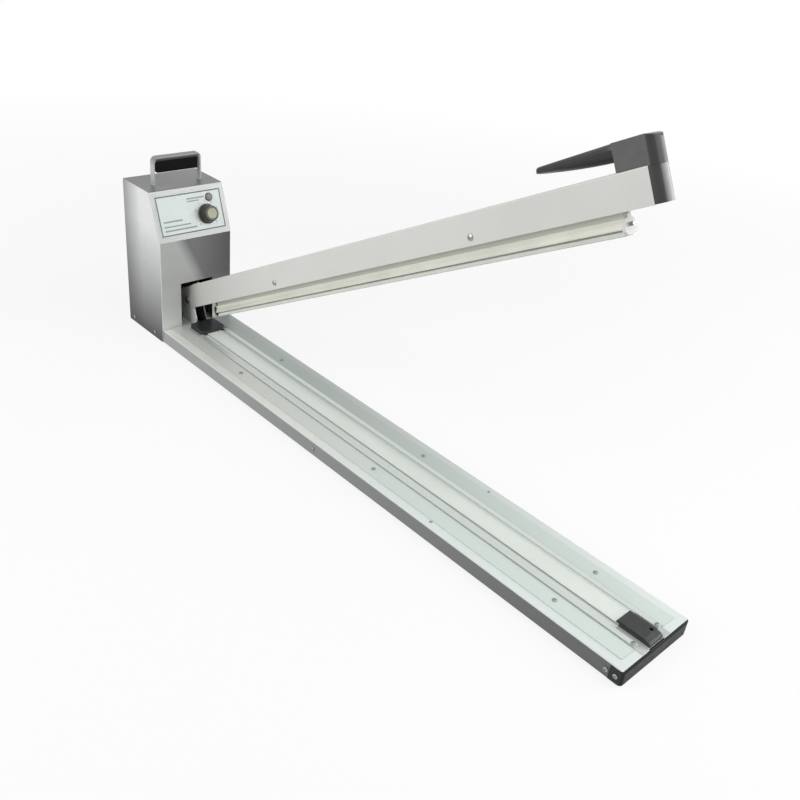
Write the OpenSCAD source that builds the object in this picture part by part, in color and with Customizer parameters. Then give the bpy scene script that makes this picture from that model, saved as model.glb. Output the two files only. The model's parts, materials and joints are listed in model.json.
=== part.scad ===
// Long-arm impulse bag sealer, 800 mm sealing length, drawn with its arm open.
// X runs from the back of the housing to the free end, Y across, Z up from the bench.

/* [Base] */
// Length of the base, from the back of the housing to the face of the end cap
base_l = 1040; // [900:10:1300]
// Width of the base channel
base_w = 131; // [127:1:150]
// Height of the base channel without its feet
base_h = 21; // [20:0.5:28]
// Sheet thickness of the base channel
base_sheet = 1.5; // [1.2:0.1:2]
// Outer bend radius along the sides of the deck
base_bend = 2.5; // [2.2:0.1:4]
// Height of the rubber feet below the base
foot_h = 3; // [2:0.5:8]
// Diameter of a rubber foot
foot_d = 16; // [12:1:22]
// Thickness of the bottom tray
tray_sheet = 1.2; // [1:0.1:1.5]
// Height of the tray's side flanges
tray_flange = 12; // [10:0.5:14]
// How far the black end cap wraps round the sides
cap_wrap = 17; // [14:1:24]
// Corner radius of the free end, seen from above
cap_radius = 5; // [4:0.5:12]
// Wall thickness of the end cap
cap_wall = 3; // [2:0.25:4]

/* [Deck trim and sealing rail] */
// Distance from the centre line to the inner edge of a deck plate
plate_in = 29; // [28.5:0.5:32]
// Distance from the centre line to the outer edge of a deck plate
plate_out = 51.5; // [45:0.5:56]
// Thickness of the deck plates
plate_t = 1.2; // [0.8:0.1:2]
// Half width of the raised table under the heating ribbon
table_half = 12.5; // [11:0.5:14]
// Height of the table above the deck
table_h = 2.8; // [2.4:0.1:4]
// Half width of the rail's foot
rail_half = 27; // [26:0.5:28]
// Thickness of the rail's foot
rail_foot = 0.8; // [0.6:0.1:1.2]
// Width of the strips that clamp the cloth
strip_w = 7; // [5:0.5:8]
// Thickness of the clamp strips
strip_t = 1.7; // [0.8:0.1:1.8]
// Thickness of the insulating tape on the table
tape_t = 0.4; // [0.2:0.1:0.8]
// Width of the heating ribbon
ribbon_w = 3; // [2:0.5:5]
// Thickness of the heating ribbon
ribbon_t = 0.3; // [0.2:0.1:0.5]
// Thickness of the non-stick cloth over the ribbon
cloth_t = 0.25; // [0.2:0.05:0.4]

/* [Housing] */
// Depth of the housing at the bench
house_d = 109; // [104:1:130]
// Depth of the flat roof
roof_d = 81; // [74:1:90]
// Height of the vertical front above the base's underside
front_h = 173.5; // [150:1:190]
// Height of the roof above the base's underside
house_h = 249; // [230:1:280]
// Sheet thickness of the housing
house_sheet = 1.2; // [1:0.1:1.6]
// Radius of the bends across the housing
house_bend = 3; // [2:0.25:5]
// Radius of the upright front corners
house_corner = 2; // [1.8:0.1:4]
// Width of the notch that the arm swings in
notch_w = 60; // [40:1:70]
// Height of the notch above the deck
notch_h = 77; // [74:1:90]
// Thickness of the back panel
back_t = 1.2; // [1:0.1:2]

/* [Control panel] */
// Width of the label plate
label_w = 120; // [100:1:124]
// Height of the label plate along the slope
label_h = 65; // [60:1:68]
// Thickness of the label plate
label_t = 0.6; // [0.4:0.1:1]
// Distance of the timer knob from the centre line
knob_y = 28; // [20:1:36]
// Distance of the timer knob up the slope
knob_up = 34; // [30:1:36]
// Diameter of the timer knob at its skirt
knob_d = 32; // [24:1:34]
// Height of the timer knob
knob_h = 16; // [12:0.5:22]
// Diameter of the potentiometer shaft
shaft_d = 6; // [5:0.5:6.35]
// Distance of the pilot lamp from the centre line
lamp_y = 37; // [30:1:45]
// Distance of the pilot lamp up the slope
lamp_up = 60; // [57:1:62]
// Diameter of the pilot lamp's bezel
lamp_d = 14; // [11:0.5:15]

/* [Carry handle] */
// Distance of the carry handle's middle from the back of the housing
carry_x = 52; // [40:1:60]
// Width of the handle strap
strap_w = 9.5; // [7:0.5:16]
// Thickness of the handle strap
strap_t = 2.5; // [1.5:0.25:3.5]
// Depth of the strap's top bar
strap_top = 7.5; // [3:0.5:9]
// Half span of the strap at the top
strap_half = 43; // [38:0.5:48]
// How much further out each leg stands at the roof
strap_splay = 0.5; // [0:0.5:4]
// Height of the strap above the roof
strap_h = 46.5; // [42:0.5:60]
// Outer radius of the strap's top corners
strap_r = 10; // [8:0.5:14]
// Height of the black grip block
grip_h = 18.5; // [12:0.5:20]

/* [Arm] */
// Angle of the open arm above the bench
open_angle = 28.2; // [22:0.2:32]
// Distance of the hinge pin from the back of the housing
pivot_x = 102; // [99:0.5:103]
// Length of the arm channel from the hinge pin to its free end
arm_l = 909; // [780:1:1160]
// Outer width of the arm channel
arm_w = 24; // [23:0.5:26]
// Height of the arm channel
arm_h = 37; // [34:0.5:40]
// Wall thickness of the arm channel
arm_wall = 1.5; // [1.2:0.1:1.6]
// Distance of the hinge pin above the channel's lower edge
pin_up = 15.5; // [14:0.5:18]
// Length of the channel behind the hinge pin
arm_tail = 20; // [16:1:24]

/* [Handle] */
// Length of the handle block along the arm, up to the end of the channel
root_l = 34.5; // [26:0.5:50]
// Height of the handle above the arm channel
handle_h = 27.5; // [24:0.5:34]
// Length of the finger grip behind the handle block
finger_l = 100; // [70:1:130]
// Thickness of the finger grip where it leaves the block
finger_t = 18; // [14:0.5:19]
// Radius of the handle's upper nose corner
nose_r = 5; // [2:0.5:8]

/* [Pressure bar] */
// Distance of the pressure bar's inner end from the hinge pin
bar_from = 74; // [72:1:90]
// Distance of the pressure bar's outer end from the free end of the arm channel
bar_back = 41; // [17:1:60]
// Thickness of the web that goes up into the channel
web_t = 6; // [4:0.5:8]
// Height of the open neck between channel and bar
neck_h = 6; // [4:0.5:8]
// Height of the bar's upper body
body_h = 4.2; // [3:0.2:6]
// Half width of the bar's upper body
body_half = 6.5; // [5:0.5:8]
// Height of the sloping flanges
flange_h = 6.2; // [5:0.2:8]
// Half width of the bar over its flanges
flange_half = 9.2; // [8:0.2:11]
// Visible depth of the silicone strip below the bar
strip_drop = 6.8; // [5:0.2:9]
// Half width of the silicone strip
strip_half = 6.5; // [5.5:0.5:7.5]

/* [Hinge] */
// Diameter of the hinge pin
pin_d = 8; // [6:0.5:9]
// Outer diameter of the bearing bushes
bush_d = 11; // [10.5:0.5:13]
// Thickness of the bracket's two ears
ear_t = 2; // [1.5:0.25:3]
// Diameter of the rod that stops the arm when it is open
stop_d = 6; // [4:0.5:7]
// Wire thickness of the return spring
spring_wire = 2.2; // [1.6:0.2:2.8]
// Outer diameter of the return spring
spring_d = 17; // [12:1:18]

/* [Terminals] */
// Length of the black cover at the free end
front_cover_l = 42; // [38:1:50]
// Distance from the tip of the front cover's roof to the free end
front_cover_gap = 7; // [5:0.5:10]
// Width of the front cover
front_cover_w = 25; // [23:0.5:28]
// Height of the front cover above the deck
front_cover_h = 7.4; // [7.2:0.1:10]
// Length of the black cover by the hinge
rear_cover_l = 37; // [32:1:44]
// Width of the black cover by the hinge
rear_cover_w = 44; // [38:1:48]
// Height of the cover by the hinge above the deck
rear_cover_h = 9; // [8:0.5:14]
// Wall thickness of both terminal covers
cover_wall = 1.2; // [1:0.1:1.5]
// Travel of the sprung ribbon clamp
clamp_travel = 3; // [1:0.5:4]

/* [Fits] */
// Radial clearance of a turning fit
running = 0.05; // [0.03:0.01:0.08]
// Clearance between parts that are bolted together
fit = 0.1; // [0.05:0.05:0.15]
// Gap between the silicone strip and the cloth when the arm is down
seal_gap = 0.2; // [0.1:0.1:0.5]

/* [Hidden] */
$fn = 48;

// Levels
deck_z = foot_h + base_h;
table_z = deck_z + table_h;
ribbon_z = table_z + tape_t;
cloth_z = ribbon_z + ribbon_t;
seal_z = cloth_z + cloth_t;
low_z = foot_h + front_h;
roof_z = foot_h + house_h;

// The bar hangs below the arm; its strip meets the cloth when the arm is level
bar_top = -pin_up - neck_h;
flange_top = bar_top - body_h;
bar_low = flange_top - flange_h;
strip_low = bar_low - strip_drop;
bar_to = arm_l - bar_back;
pivot_z = seal_z + seal_gap - strip_low;

// Ends and middle
gland_out = 14;
centre_x = (base_l - gland_out) / 2;
channel_x0 = back_t + fit;
channel_x1 = base_l - 2;
side_x1 = base_l - cap_wrap;
house_half = base_w / 2 + fit + house_sheet;
inner_half = base_w / 2 + fit;
slope = atan((house_d - roof_d) / (roof_z - low_z));
slope_l = norm([house_d - roof_d, roof_z - low_z]);
label_low = (slope_l - label_h) / 2;

// The covers and what lies under them
front_cover_x1 = base_l - front_cover_gap;
front_cover_x0 = front_cover_x1 - front_cover_l;
bracket_x1 = pivot_x + 22;
bracket_x0 = pivot_x - 22;
rail_x0 = bracket_x1 + 1;
rail_x1 = channel_x1 - 1;
rear_cover_x0 = rail_x0;
rear_cover_x1 = rear_cover_x0 + rear_cover_l;
table_x0 = rear_cover_x1 - 3;
table_x1 = front_cover_x0 + 4;
plate_x0 = house_d + 3;
plate_x1 = base_l - 13;
strip_x1 = base_l - 14;
rail_floor = deck_z + rail_foot;

// Sprung clamp of the ribbon's free end
guide_t = 0.8;
guide_z = rail_floor + guide_t;
post_x = table_x1 + 3;
post_t = 2;
tension_l = 8;
clamp_x = post_x + post_t + tension_l;
clamp_l = 10;
tension_d = 2.6;
tension_y = 6;

// Rear end of the ribbon
rear_block_x = rear_cover_x0 + 12;
rear_block_l = 12;

// Tail of the arm, in the arm's own frame
tail_t = 4;
tail_top = arm_h - pin_up - arm_wall;
tail_end = 48;
tail_half = 14;
tail_hole = 44;
tail_low = tail_top - tail_t;
ear_out = arm_w / 2 - arm_wall - 0.5;
ear_in = ear_out - ear_t;
stop_a = -9;
stop_w = tail_low - fit - stop_d / 2;

// Return spring, from the tray to the tail of the open arm
spring_top = in_bench([-tail_hole, 0, tail_low + tail_t / 2]);
spring_x = spring_top[0];
spring_z0 = foot_h + tray_sheet + 6;
spring_turns = 13;
spring_hole = spring_d + 5;

// Switch above the tail, which lifts the plunger as the strip is squeezed
switch_x = pivot_x - 40;
switch_y = -11.5;
switch_z = pivot_z + tail_top + 1.5;
plunger_d = 3.6;
switch_size = [27.8, 10.3, 15.9];
bracket_y = switch_y - switch_size[1] / 2 - fit;

// Transformer beside the hinge
core = [75, 22, 62.5];
core_x = 12.5;
limb = 12.5;
coil_out = 9.5;
coil_gap = 1.6;
core_y = inner_half - coil_gap - coil_out - core[1];
core_bracket_t = 1.2;

// Feet, from the back of the housing and from the free end
foot_back = 78;
foot_front = 44;

// Fasteners
screw_r = 1.6;
screw_hole = screw_r + fit;
deck_screw_from = plate_x0 + 186;
deck_screw_to = plate_x1 - 102;
deck_screw_mid = (deck_screw_from + deck_screw_to) / 2;
deck_screw_y = (plate_in + plate_out) / 2 - 1;
left_screw_x = [deck_screw_from, deck_screw_mid, deck_screw_to];
right_screw_x = [deck_screw_from, deck_screw_mid + 16, deck_screw_to];
rivet_r = 1.2;
rivet_x = deck_screw_to - 187;
rivet_y = plate_out + 3;
house_screw_x = [16.5, 84.5];
side_screw_z = foot_h + 9.5;
side_screw_x = [centre_x, base_l - 21];
cap_screw_x = base_l - 8.5;
cap_tab = front_cover_w / 2 + 1.5;
back_screw_z = [deck_z + 12, roof_z - 22];
back_screw_y = inner_half - 7;
bracket_screw_x = [pivot_x - 10, pivot_x + 12];
cross_screw_a = [bar_from + 193, bar_to - 195];
cross_screw_w = 9.5 - pin_up;
cross_r = 2;
handle_screw_a = [arm_l - 24, arm_l - 8];

// A point of the arm's frame, at the hinge pin, given on the open arm in the bench's frame
function in_bench(p) = [
    pivot_x + p[0] * cos(open_angle) - p[2] * sin(open_angle),
    p[1],
    pivot_z + p[0] * sin(open_angle) + p[2] * cos(open_angle)];

function unit(v) = v / norm(v);

// Points of a rounded corner at b, between a and c
function corner(a, b, c, r, n = 6) =
    let (u = unit(a - b), v = unit(c - b), half = acos(u * v) / 2,
        mid = b + unit(u + v) * r / sin(half),
        p = b + u * r / tan(half), q = b + v * r / tan(half))
    [for (i = [0:n]) mid + r * unit((p - mid) * (1 - i / n) + (q - mid) * i / n)];

// Outline with a radius at each point; a radius of 0 keeps the corner sharp
function rounded(points, radii) =
    let (n = len(points))
    [for (i = [0:n - 1])
        each radii[i] == 0 ? [points[i]]
            : corner(points[(i + n - 1) % n], points[i], points[(i + 1) % n], radii[i])];

// Line of the sloping panel, moved inwards by e
function slope_x(z, e) = house_d - (e + (z - low_z) * sin(slope)) / cos(slope);
function slope_z(x, e) = low_z - (e + (x - house_d) * cos(slope)) / sin(slope);

// Side view of the housing, moved inwards by e
function house_outline(e) = rounded([
    [back_t, foot_h], [back_t, roof_z - e],
    [slope_x(roof_z - e, e), roof_z - e],
    [house_d - e, slope_z(house_d - e, e)],
    [house_d - e, foot_h]], [0, 0, house_bend - e, house_bend - e, 0]);

// Rings of points for a wire of radius r that follows a path
function wire_rings(path, r, sides) = [
    for (i = [0:len(path) - 1])
        let (t = unit(path[min(i + 1, len(path) - 1)] - path[max(i - 1, 0)]),
            side = unit(cross(t, abs(t[2]) > 0.9 ? [1, 0, 0] : [0, 0, 1])),
            up = cross(side, t))
        [for (k = [0:sides - 1])
            path[i] + r * (cos(k * 360 / sides) * side + sin(k * 360 / sides) * up)]];

// Path of a coil along Z whose ends lie on its axis; the upper one turns into a hook
function coil_path(r, z0, z1, turns, low, high, steps = 14) = concat(
    [[0, 0, low], [0, 0, z0 - 1.8]],
    [for (i = [0:turns * steps])
        [r * cos(i * 360 / steps), r * sin(i * 360 / steps), z0 + (z1 - z0) * i / (turns * steps)]],
    [[0, 0, z1 + 1.8], [0, 0, high - 1.4], [-1, 0, high - 0.4], [-2.4, 0, high], [-5, 0, high]]);

module seated() {
    translate([-centre_x, 0, 0]) children();
}

module on_arm() {
    seated() translate([pivot_x, 0, pivot_z]) rotate([0, -open_angle, 0]) children();
}

// Local z leaves the sloping panel, local x runs down it
module on_panel(y, up) {
    seated() translate([house_d, 0, low_z]) rotate([0, 90 - slope, 0]) translate([-up, y, 0]) children();
}

module slab(low, high) {
    translate(low) cube(high - low);
}

module both_sides() {
    children();
    mirror([0, 1, 0]) children();
}

// A section drawn in Y and Z, pulled along X
module along_x(x0, x1) {
    translate([x0, 0, 0]) rotate([90, 0, 90]) linear_extrude(x1 - x0) children();
}

// A side view drawn in X and Z, pulled along Y
module along_y(y0, y1) {
    translate([0, y1, 0]) rotate([90, 0, 0]) linear_extrude(y1 - y0) children();
}

// A tube of rings, closed at both ends
module ring_body(rings) {
    n = len(rings[0]);
    m = len(rings);
    polyhedron(
        points = [for (ring = rings) each ring],
        faces = concat(
            [[for (k = [n - 1:-1:0]) k]],
            [for (i = [0:m - 2], k = [0:n - 1])
                [i * n + k, i * n + (k + 1) % n, (i + 1) * n + (k + 1) % n, (i + 1) * n + k]],
            [[for (k = [0:n - 1]) (m - 1) * n + k]]));
}

// Domed screw with a cross recess; its head sits on z = 0 and the shank goes down
module screw(r, l) {
    head_r = r * 1.9;
    head_h = r * 1.1;
    difference() {
        union() {
            intersection() {
                cylinder(r = head_r, h = head_h);
                translate([0, 0, head_h - head_r * 1.7]) sphere(r = head_r * 1.7);
            }
            translate([0, 0, -l]) cylinder(r = r, h = l + 0.1);
        }
        for (a = [0, 90]) rotate([0, 0, a])
            slab([-head_r * 0.55, -r * 0.18, head_h * 0.45], [head_r * 0.55, r * 0.18, head_h + 1]);
    }
}

// Blind rivet: a low head on z = 0 and a swollen end below the sheet
module rivet(r, l) {
    rotate_extrude($fn = 32) polygon([[0, -l - 1], [r * 1.3, -l - 0.6], [r * 1.3, -l], [r, -l], [r, 0],
        [r * 1.9, 0], [r * 1.7, r * 0.4], [r * 0.8, r * 0.75], [0, r * 0.8]]);
}

module left_right_screws(xs, z, out, r, l) {
    both_sides() for (x = xs) translate([x, out, z]) rotate([-90, 0, 0]) screw(r, l);
}

module side_holes(xs, z, r) {
    for (x = xs) translate([x, 0, z]) rotate([90, 0, 0]) cylinder(r = r, h = 3 * base_w, center = true);
}

// Plan of the free end with its two rounded corners, moved inwards by e
module end_plan(x0, e, z0, z1) {
    half = base_w / 2 - e;
    translate([0, 0, z0]) linear_extrude(z1 - z0)
        polygon(rounded([[x0, -half], [base_l - e, -half], [base_l - e, half], [x0, half]],
            [0, cap_radius - e / 2, cap_radius - e / 2, 0]));
}

module channel_section(e, low) {
    half = base_w / 2 - e;
    top = deck_z - e;
    polygon(rounded([[-half, low], [-half, top], [half, top], [half, low]],
        [0, base_bend - e, base_bend - e, 0]));
}

module base_channel() {
    color([0.84, 0.86, 0.84]) seated() difference() {
        intersection() {
            along_x(channel_x0, channel_x1) channel_section(0, foot_h);
            end_plan(0, 0.4, 0, roof_z);
        }
        along_x(channel_x0 - 1, base_l) channel_section(base_sheet, foot_h - 1);
        slab([side_x1, -base_w, foot_h - 1], [base_l, base_w, deck_z - base_sheet]);
        translate([spring_x, 0, deck_z - 5]) cylinder(d = spring_hole, h = 10);
        deck_screws_at() cylinder(r = screw_hole, h = 20, center = true);
        rivets_at() cylinder(r = rivet_r + fit, h = 20, center = true);
        for (x = bracket_screw_x) translate([x, 0, deck_z - 5]) cylinder(r = screw_hole, h = 10);
        for (p = foot_screws()) translate([p[0], p[1], deck_z - 5]) cylinder(r = screw_hole, h = 10);
        strip_screws_at() cylinder(r = screw_hole, h = 20, center = true);
        side_holes(concat(house_screw_x, side_screw_x), side_screw_z, screw_hole);
    }
}

// Screws of the switch bracket and the transformer bracket
function foot_screws() = [
    for (x = [switch_x - 8, switch_x + 8]) [x, bracket_y - 9],
    for (x = [core_x - core_bracket_t - 5, core_x + core[0] + core_bracket_t + 5]) [x, core_y + core[1] / 2]];

module bottom_tray() {
    half = base_w / 2 - base_sheet - fit;
    x0 = channel_x0 + 1;
    x1 = side_x1 - cap_wall - 8;
    slot_l = 30;
    color([0.55, 0.57, 0.56]) seated() difference() {
        slab([x0, -half, foot_h], [x1, half, foot_h + tray_flange]);
        slab([x0 - 1, -half + tray_sheet, foot_h + tray_sheet], [x1 + 1, half - tray_sheet, deck_z]);
        side_holes(concat(house_screw_x, side_screw_x), side_screw_z, screw_hole);
        for (i = [0:5], s = [-1, 1])
            slab([16 + 8 * i, s * 35 - slot_l / 2, foot_h - 1], [19 + 8 * i, s * 35 + slot_l / 2, foot_h + 3]);
    }
}

module rubber_feet() {
    r = foot_d / 2;
    color([0.1, 0.1, 0.1]) seated() for (x = [foot_back, base_l / 2, base_l - foot_front], s = [-1, 1])
        translate([x, s * (base_w / 2 - foot_d - 2), 0]) difference() {
            cylinder(r1 = r - 0.8, r2 = r, h = foot_h);
            translate([0, 0, -1]) cylinder(r = r * 0.4, h = foot_h / 2 + 1);
        }
}

// Rounds the end face of the cap over its top edge
module cap_rounding() {
    r = 4.5;
    top = deck_z - 0.3;
    difference() {
        slab([base_l - r, -base_w, top - r], [base_l + 1, base_w, top + 3]);
        translate([base_l - r, 0, top - r]) rotate([90, 0, 0]) cylinder(r = r, h = 3 * base_w, center = true);
        slab([base_l - r - 1, -cap_tab, top - r], [base_l - 1, cap_tab, top + 4]);
    }
}

module end_cap() {
    lip = base_l - 1.8;
    top = deck_z - base_sheet - fit;
    color([0.09, 0.09, 0.09]) seated() difference() {
        union() {
            end_plan(side_x1 + fit, 0, foot_h, top);
            intersection() {
                end_plan(side_x1, 0, foot_h, deck_z - 0.3);
                slab([lip, -base_w, foot_h], [base_l, base_w, deck_z]);
            }
            slab([rail_x1 + fit, -cap_tab, deck_z + 0.02], [base_l - 1, cap_tab, rail_floor]);
            slab([lip, -cap_tab, deck_z - 1], [base_l - 1, cap_tab, rail_floor]);
            slab([side_x1 - 8, -base_w / 2 + base_sheet + fit, foot_h], [side_x1 + 4, base_w / 2 - base_sheet - fit, top]);
        }
        slab([side_x1 - 10, -base_w / 2 + base_sheet + cap_wall, foot_h - 1],
            [base_l - cap_wall - 1, base_w / 2 - base_sheet - cap_wall, top - cap_wall]);
        cap_rounding();
        side_holes([side_screw_x[1], cap_screw_x], side_screw_z, screw_hole);
        strip_screws_at() cylinder(r = screw_hole, h = 20, center = true);
    }
}

module deck_screws_at() {
    for (x = left_screw_x) translate([x, -deck_screw_y, deck_z + plate_t]) children();
    for (x = right_screw_x) translate([x, deck_screw_y, deck_z + plate_t]) children();
}

module rivets_at() {
    for (s = [-1, 1]) translate([rivet_x, s * rivet_y, deck_z]) children();
}

module deck_plate(side) {
    y0 = side > 0 ? plate_in : -plate_out;
    color([0.86, 0.89, 0.87]) seated() difference() {
        slab([plate_x0, y0, deck_z], [plate_x1, y0 + plate_out - plate_in, deck_z + plate_t]);
        deck_screws_at() cylinder(r = screw_hole, h = 20, center = true);
    }
}

module deck_plate_left() {
    deck_plate(-1);
}

module deck_plate_right() {
    deck_plate(1);
}

module seal_rail() {
    color([0.78, 0.8, 0.79]) seated() difference() {
        union() {
            slab([rail_x0, -rail_half, deck_z], [rail_x1, rail_half, rail_floor]);
            slab([table_x0, -table_half, rail_floor], [table_x1, table_half, table_z]);
        }
        strip_screws_at() cylinder(r = screw_hole, h = 20, center = true);
    }
}

module rail_tape() {
    color([0.85, 0.8, 0.66]) seated()
        slab([table_x0, -table_half, table_z], [table_x1, table_half, ribbon_z]);
}

module heating_ribbon() {
    color([0.55, 0.53, 0.5]) seated()
        slab([rear_block_x, -ribbon_w / 2, ribbon_z], [clamp_x + clamp_l * 0.6, ribbon_w / 2, cloth_z]);
}

// The cloth lies over the table and down into the grooves, under the clamp strips
module nonstick_cloth() {
    side = table_half + fit;
    out = side + cloth_t;
    low = rail_floor + cloth_t;
    color([0.88, 0.86, 0.76]) seated() along_x(table_x0, table_x1) polygon([
        [-rail_half, rail_floor], [-side, rail_floor], [-side, cloth_z], [side, cloth_z],
        [side, rail_floor], [rail_half, rail_floor], [rail_half, low], [out, low],
        [out, seal_z], [-out, seal_z], [-out, low], [-rail_half, low]]);
}

module clamp_strips() {
    low = rail_floor + cloth_t;
    color([0.9, 0.92, 0.9]) seated() difference() {
        both_sides() slab([table_x0, rail_half - strip_w, low], [strip_x1, rail_half, low + strip_t]);
        strip_screws_at() cylinder(r = screw_hole, h = 20, center = true);
    }
}

module strip_screws_at() {
    for (s = [-1, 1]) translate([strip_x1 - 4, s * (rail_half - strip_w / 2), rail_floor + cloth_t + strip_t])
        children();
}

module front_terminal_guide() {
    half = front_cover_w / 2 - cover_wall - 1;
    color([0.3, 0.18, 0.1]) seated() difference() {
        union() {
            slab([table_x1 + fit, -half, rail_floor], [front_cover_x1 - 4, half, guide_z]);
            slab([post_x, -half, guide_z], [post_x + post_t, half, guide_z + 3.4]);
        }
        slab([post_x - 1, -ribbon_w, ribbon_z - 0.5], [post_x + post_t + 1, ribbon_w, deck_z + 10]);
    }
}

// Two small push springs that keep the ribbon tight as it grows with heat
module tension_springs() {
    wire = 0.5;
    color([0.7, 0.7, 0.72]) seated() for (s = [-1, 1])
        translate([post_x + post_t, s * tension_y, guide_z + tension_d / 2 + 0.1]) rotate([0, 90, 0])
            ring_body(wire_rings([for (i = [0:60]) let (a = i * 30) [
                (tension_d - wire) / 2 * cos(a), (tension_d - wire) / 2 * sin(a),
                wire / 2 + 0.05 + (tension_l - wire - 0.1) * i / 60]], wire / 2, 6));
}

module ribbon_clamp() {
    half = front_cover_w / 2 - cover_wall - 1.2;
    plate_w = ribbon_w + 5;
    color([0.78, 0.62, 0.3]) seated() difference() {
        union() {
            slab([clamp_x, -half, guide_z + 0.05], [clamp_x + clamp_l, half, ribbon_z - 0.05]);
            slab([clamp_x + clamp_l * 0.65, -plate_w / 2, ribbon_z - 0.05],
                [clamp_x + clamp_l, plate_w / 2, cloth_z + 1]);
            slab([clamp_x + 1, -plate_w / 2, cloth_z + 0.05],
                [clamp_x + clamp_l, plate_w / 2, cloth_z + 1]);
        }
        for (s = [-1, 1]) translate([clamp_x + clamp_l / 2, s * (half - 1.7), deck_z])
            cylinder(r = 0.8, h = 10);
    }
}

// Cover outline from the side; z is counted from the rail's foot
module front_cover() {
    top = deck_z + front_cover_h;
    half = front_cover_w / 2;
    wall = cover_wall;
    x0 = front_cover_x0;
    x1 = front_cover_x1;
    toe = rail_x1 - 0.5;
    color([0.1, 0.1, 0.1]) seated() difference() {
        along_y(-half, half) polygon(rounded(
            [[x0, rail_floor], [x0, top], [x1 - 6, top], [x1 + 1, top - 1.4], [toe, rail_floor + 3], [toe, rail_floor]],
            [0, 1.5, 4, 1.2, 1, 0]));
        translate([x1 - 9, half * 0.55, top - wall - 1]) cylinder(r = 2.2, h = 5);
        along_y(-half + wall, half - wall) polygon([
            [x0 - 1, rail_floor - 1], [x0 - 1, top - wall], [x1 - 6 - wall, top - wall],
            [x1 - wall, top - 1.4 - wall], [toe - 1.5 * wall, rail_floor + 2.5], [toe - 1.5 * wall, rail_floor - 1]]);
        slab([x0 - 1, -half - 1, rail_floor - 1], [table_x1 + fit, half + 1, seal_z + fit]);
    }
}

module rear_terminal() {
    half = 8;
    color([0.78, 0.62, 0.3]) seated() difference() {
        union() {
            slab([rear_block_x - 2, -half, rail_floor], [rear_block_x + rear_block_l, half, ribbon_z]);
            slab([rear_block_x - 2, -half, cloth_z], [rear_block_x + rear_block_l - 4, half, cloth_z + 1.2]);
            for (s = [-1, 1]) translate([rear_block_x + 3, s * (half - 3), rail_floor + 1])
                cylinder(r = 2, h = cloth_z + 2.2 - rail_floor);
        }
        slab([rear_block_x - 0.1, -ribbon_w / 2 - fit, ribbon_z],
            [rear_block_x + rear_block_l + 1, ribbon_w / 2 + fit, cloth_z]);
    }
}

module rear_cover() {
    top = deck_z + rear_cover_h;
    half = rear_cover_w / 2;
    x0 = rear_cover_x0;
    x1 = rear_cover_x1;
    wall = cover_wall;
    r = 8;
    color([0.1, 0.1, 0.1]) seated() difference() {
        translate([0, 0, rail_floor]) linear_extrude(top - rail_floor)
            polygon(rounded([[x0, -half], [x1, -half], [x1, half], [x0, half]], [0, r, r, 0]));
        translate([0, 0, rail_floor - 1]) linear_extrude(top - wall - rail_floor + 1)
            polygon(rounded([[x0 + wall, -half + wall], [x1 - wall, -half + wall],
                [x1 - wall, half - wall], [x0 + wall, half - wall]], [0, r - wall, r - wall, 0]));
        slab([table_x0 - fit, -rail_half - 1, rail_floor - 1],
            [x1 + 1, rail_half + 1, rail_floor + cloth_t + strip_t + fit]);
        slab([table_x0 - fit, -table_half - 1, rail_floor - 1], [x1 + 1, table_half + 1, seal_z + fit]);
    }
}

module ear_outline() {
    pin_boss = pin_d / 2 + 5;
    stop = in_bench([stop_a, 0, stop_w]);
    union() {
        polygon([[bracket_x0, deck_z], [bracket_x1 - 2, deck_z], [bracket_x1 - 2, deck_z + 14],
            [pivot_x + pin_boss, pivot_z], [pivot_x, pivot_z + pin_boss * 0.8],
            [stop[0], stop[2] + stop_d / 2], [stop[0] - stop_d / 2 - 2, stop[2]], [bracket_x0, deck_z + 18]]);
        translate([pivot_x, pivot_z]) circle(r = pin_boss);
        translate([stop[0], stop[2]]) circle(r = stop_d / 2 + 2.4);
    }
}

module hinge_bracket() {
    stop = in_bench([stop_a, 0, stop_w]);
    color([0.72, 0.73, 0.72]) seated() difference() {
        union() {
            both_sides() along_y(ear_in, ear_out) ear_outline();
            slab([bracket_x0, -ear_out, deck_z], [bracket_x1 - 2, ear_out, deck_z + ear_t]);
        }
        translate([pivot_x, 0, pivot_z]) rotate([90, 0, 0]) cylinder(d = pin_d + 0.04, h = arm_w, center = true);
        translate([stop[0], 0, stop[2]]) rotate([90, 0, 0]) cylinder(d = stop_d + 0.04, h = arm_w, center = true);
        for (x = bracket_screw_x) translate([x, 0, deck_z - 1]) cylinder(r = screw_hole, h = 10);
    }
}

clip_t = 1;
flange_t = 1.2;
clip_in = arm_w / 2 + flange_t + 0.2;
pin_half = clip_in + clip_t + 1;
groove_d = pin_d - 1.6;

module hinge_pin() {
    color([0.8, 0.8, 0.82]) seated() translate([pivot_x, 0, pivot_z]) rotate([90, 0, 0]) difference() {
        cylinder(d = pin_d, h = 2 * pin_half, center = true);
        both_ends(clip_in - 0.05) difference() {
            cylinder(d = pin_d + 2, h = clip_t + 0.1);
            translate([0, 0, -1]) cylinder(d = groove_d, h = clip_t + 3);
        }
    }
}

module both_ends(z) {
    for (s = [0, 1]) mirror([0, 0, s]) translate([0, 0, z]) children();
}

module pin_clips() {
    color([0.55, 0.55, 0.57]) seated() translate([pivot_x, 0, pivot_z]) rotate([90, 0, 0])
        both_ends(clip_in) difference() {
            cylinder(d = pin_d + 6, h = clip_t);
            translate([0, 0, -1]) cylinder(d = groove_d + 0.1, h = clip_t + 2);
            slab([-groove_d / 2, 0, -1], [groove_d / 2, pin_d + 6, clip_t + 1]);
        }
}

module stop_rod() {
    stop = in_bench([stop_a, 0, stop_w]);
    color([0.6, 0.6, 0.62]) seated() translate([stop[0], 0, stop[2]]) rotate([90, 0, 0])
        cylinder(d = stop_d, h = 2 * ear_out, center = true);
}

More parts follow.
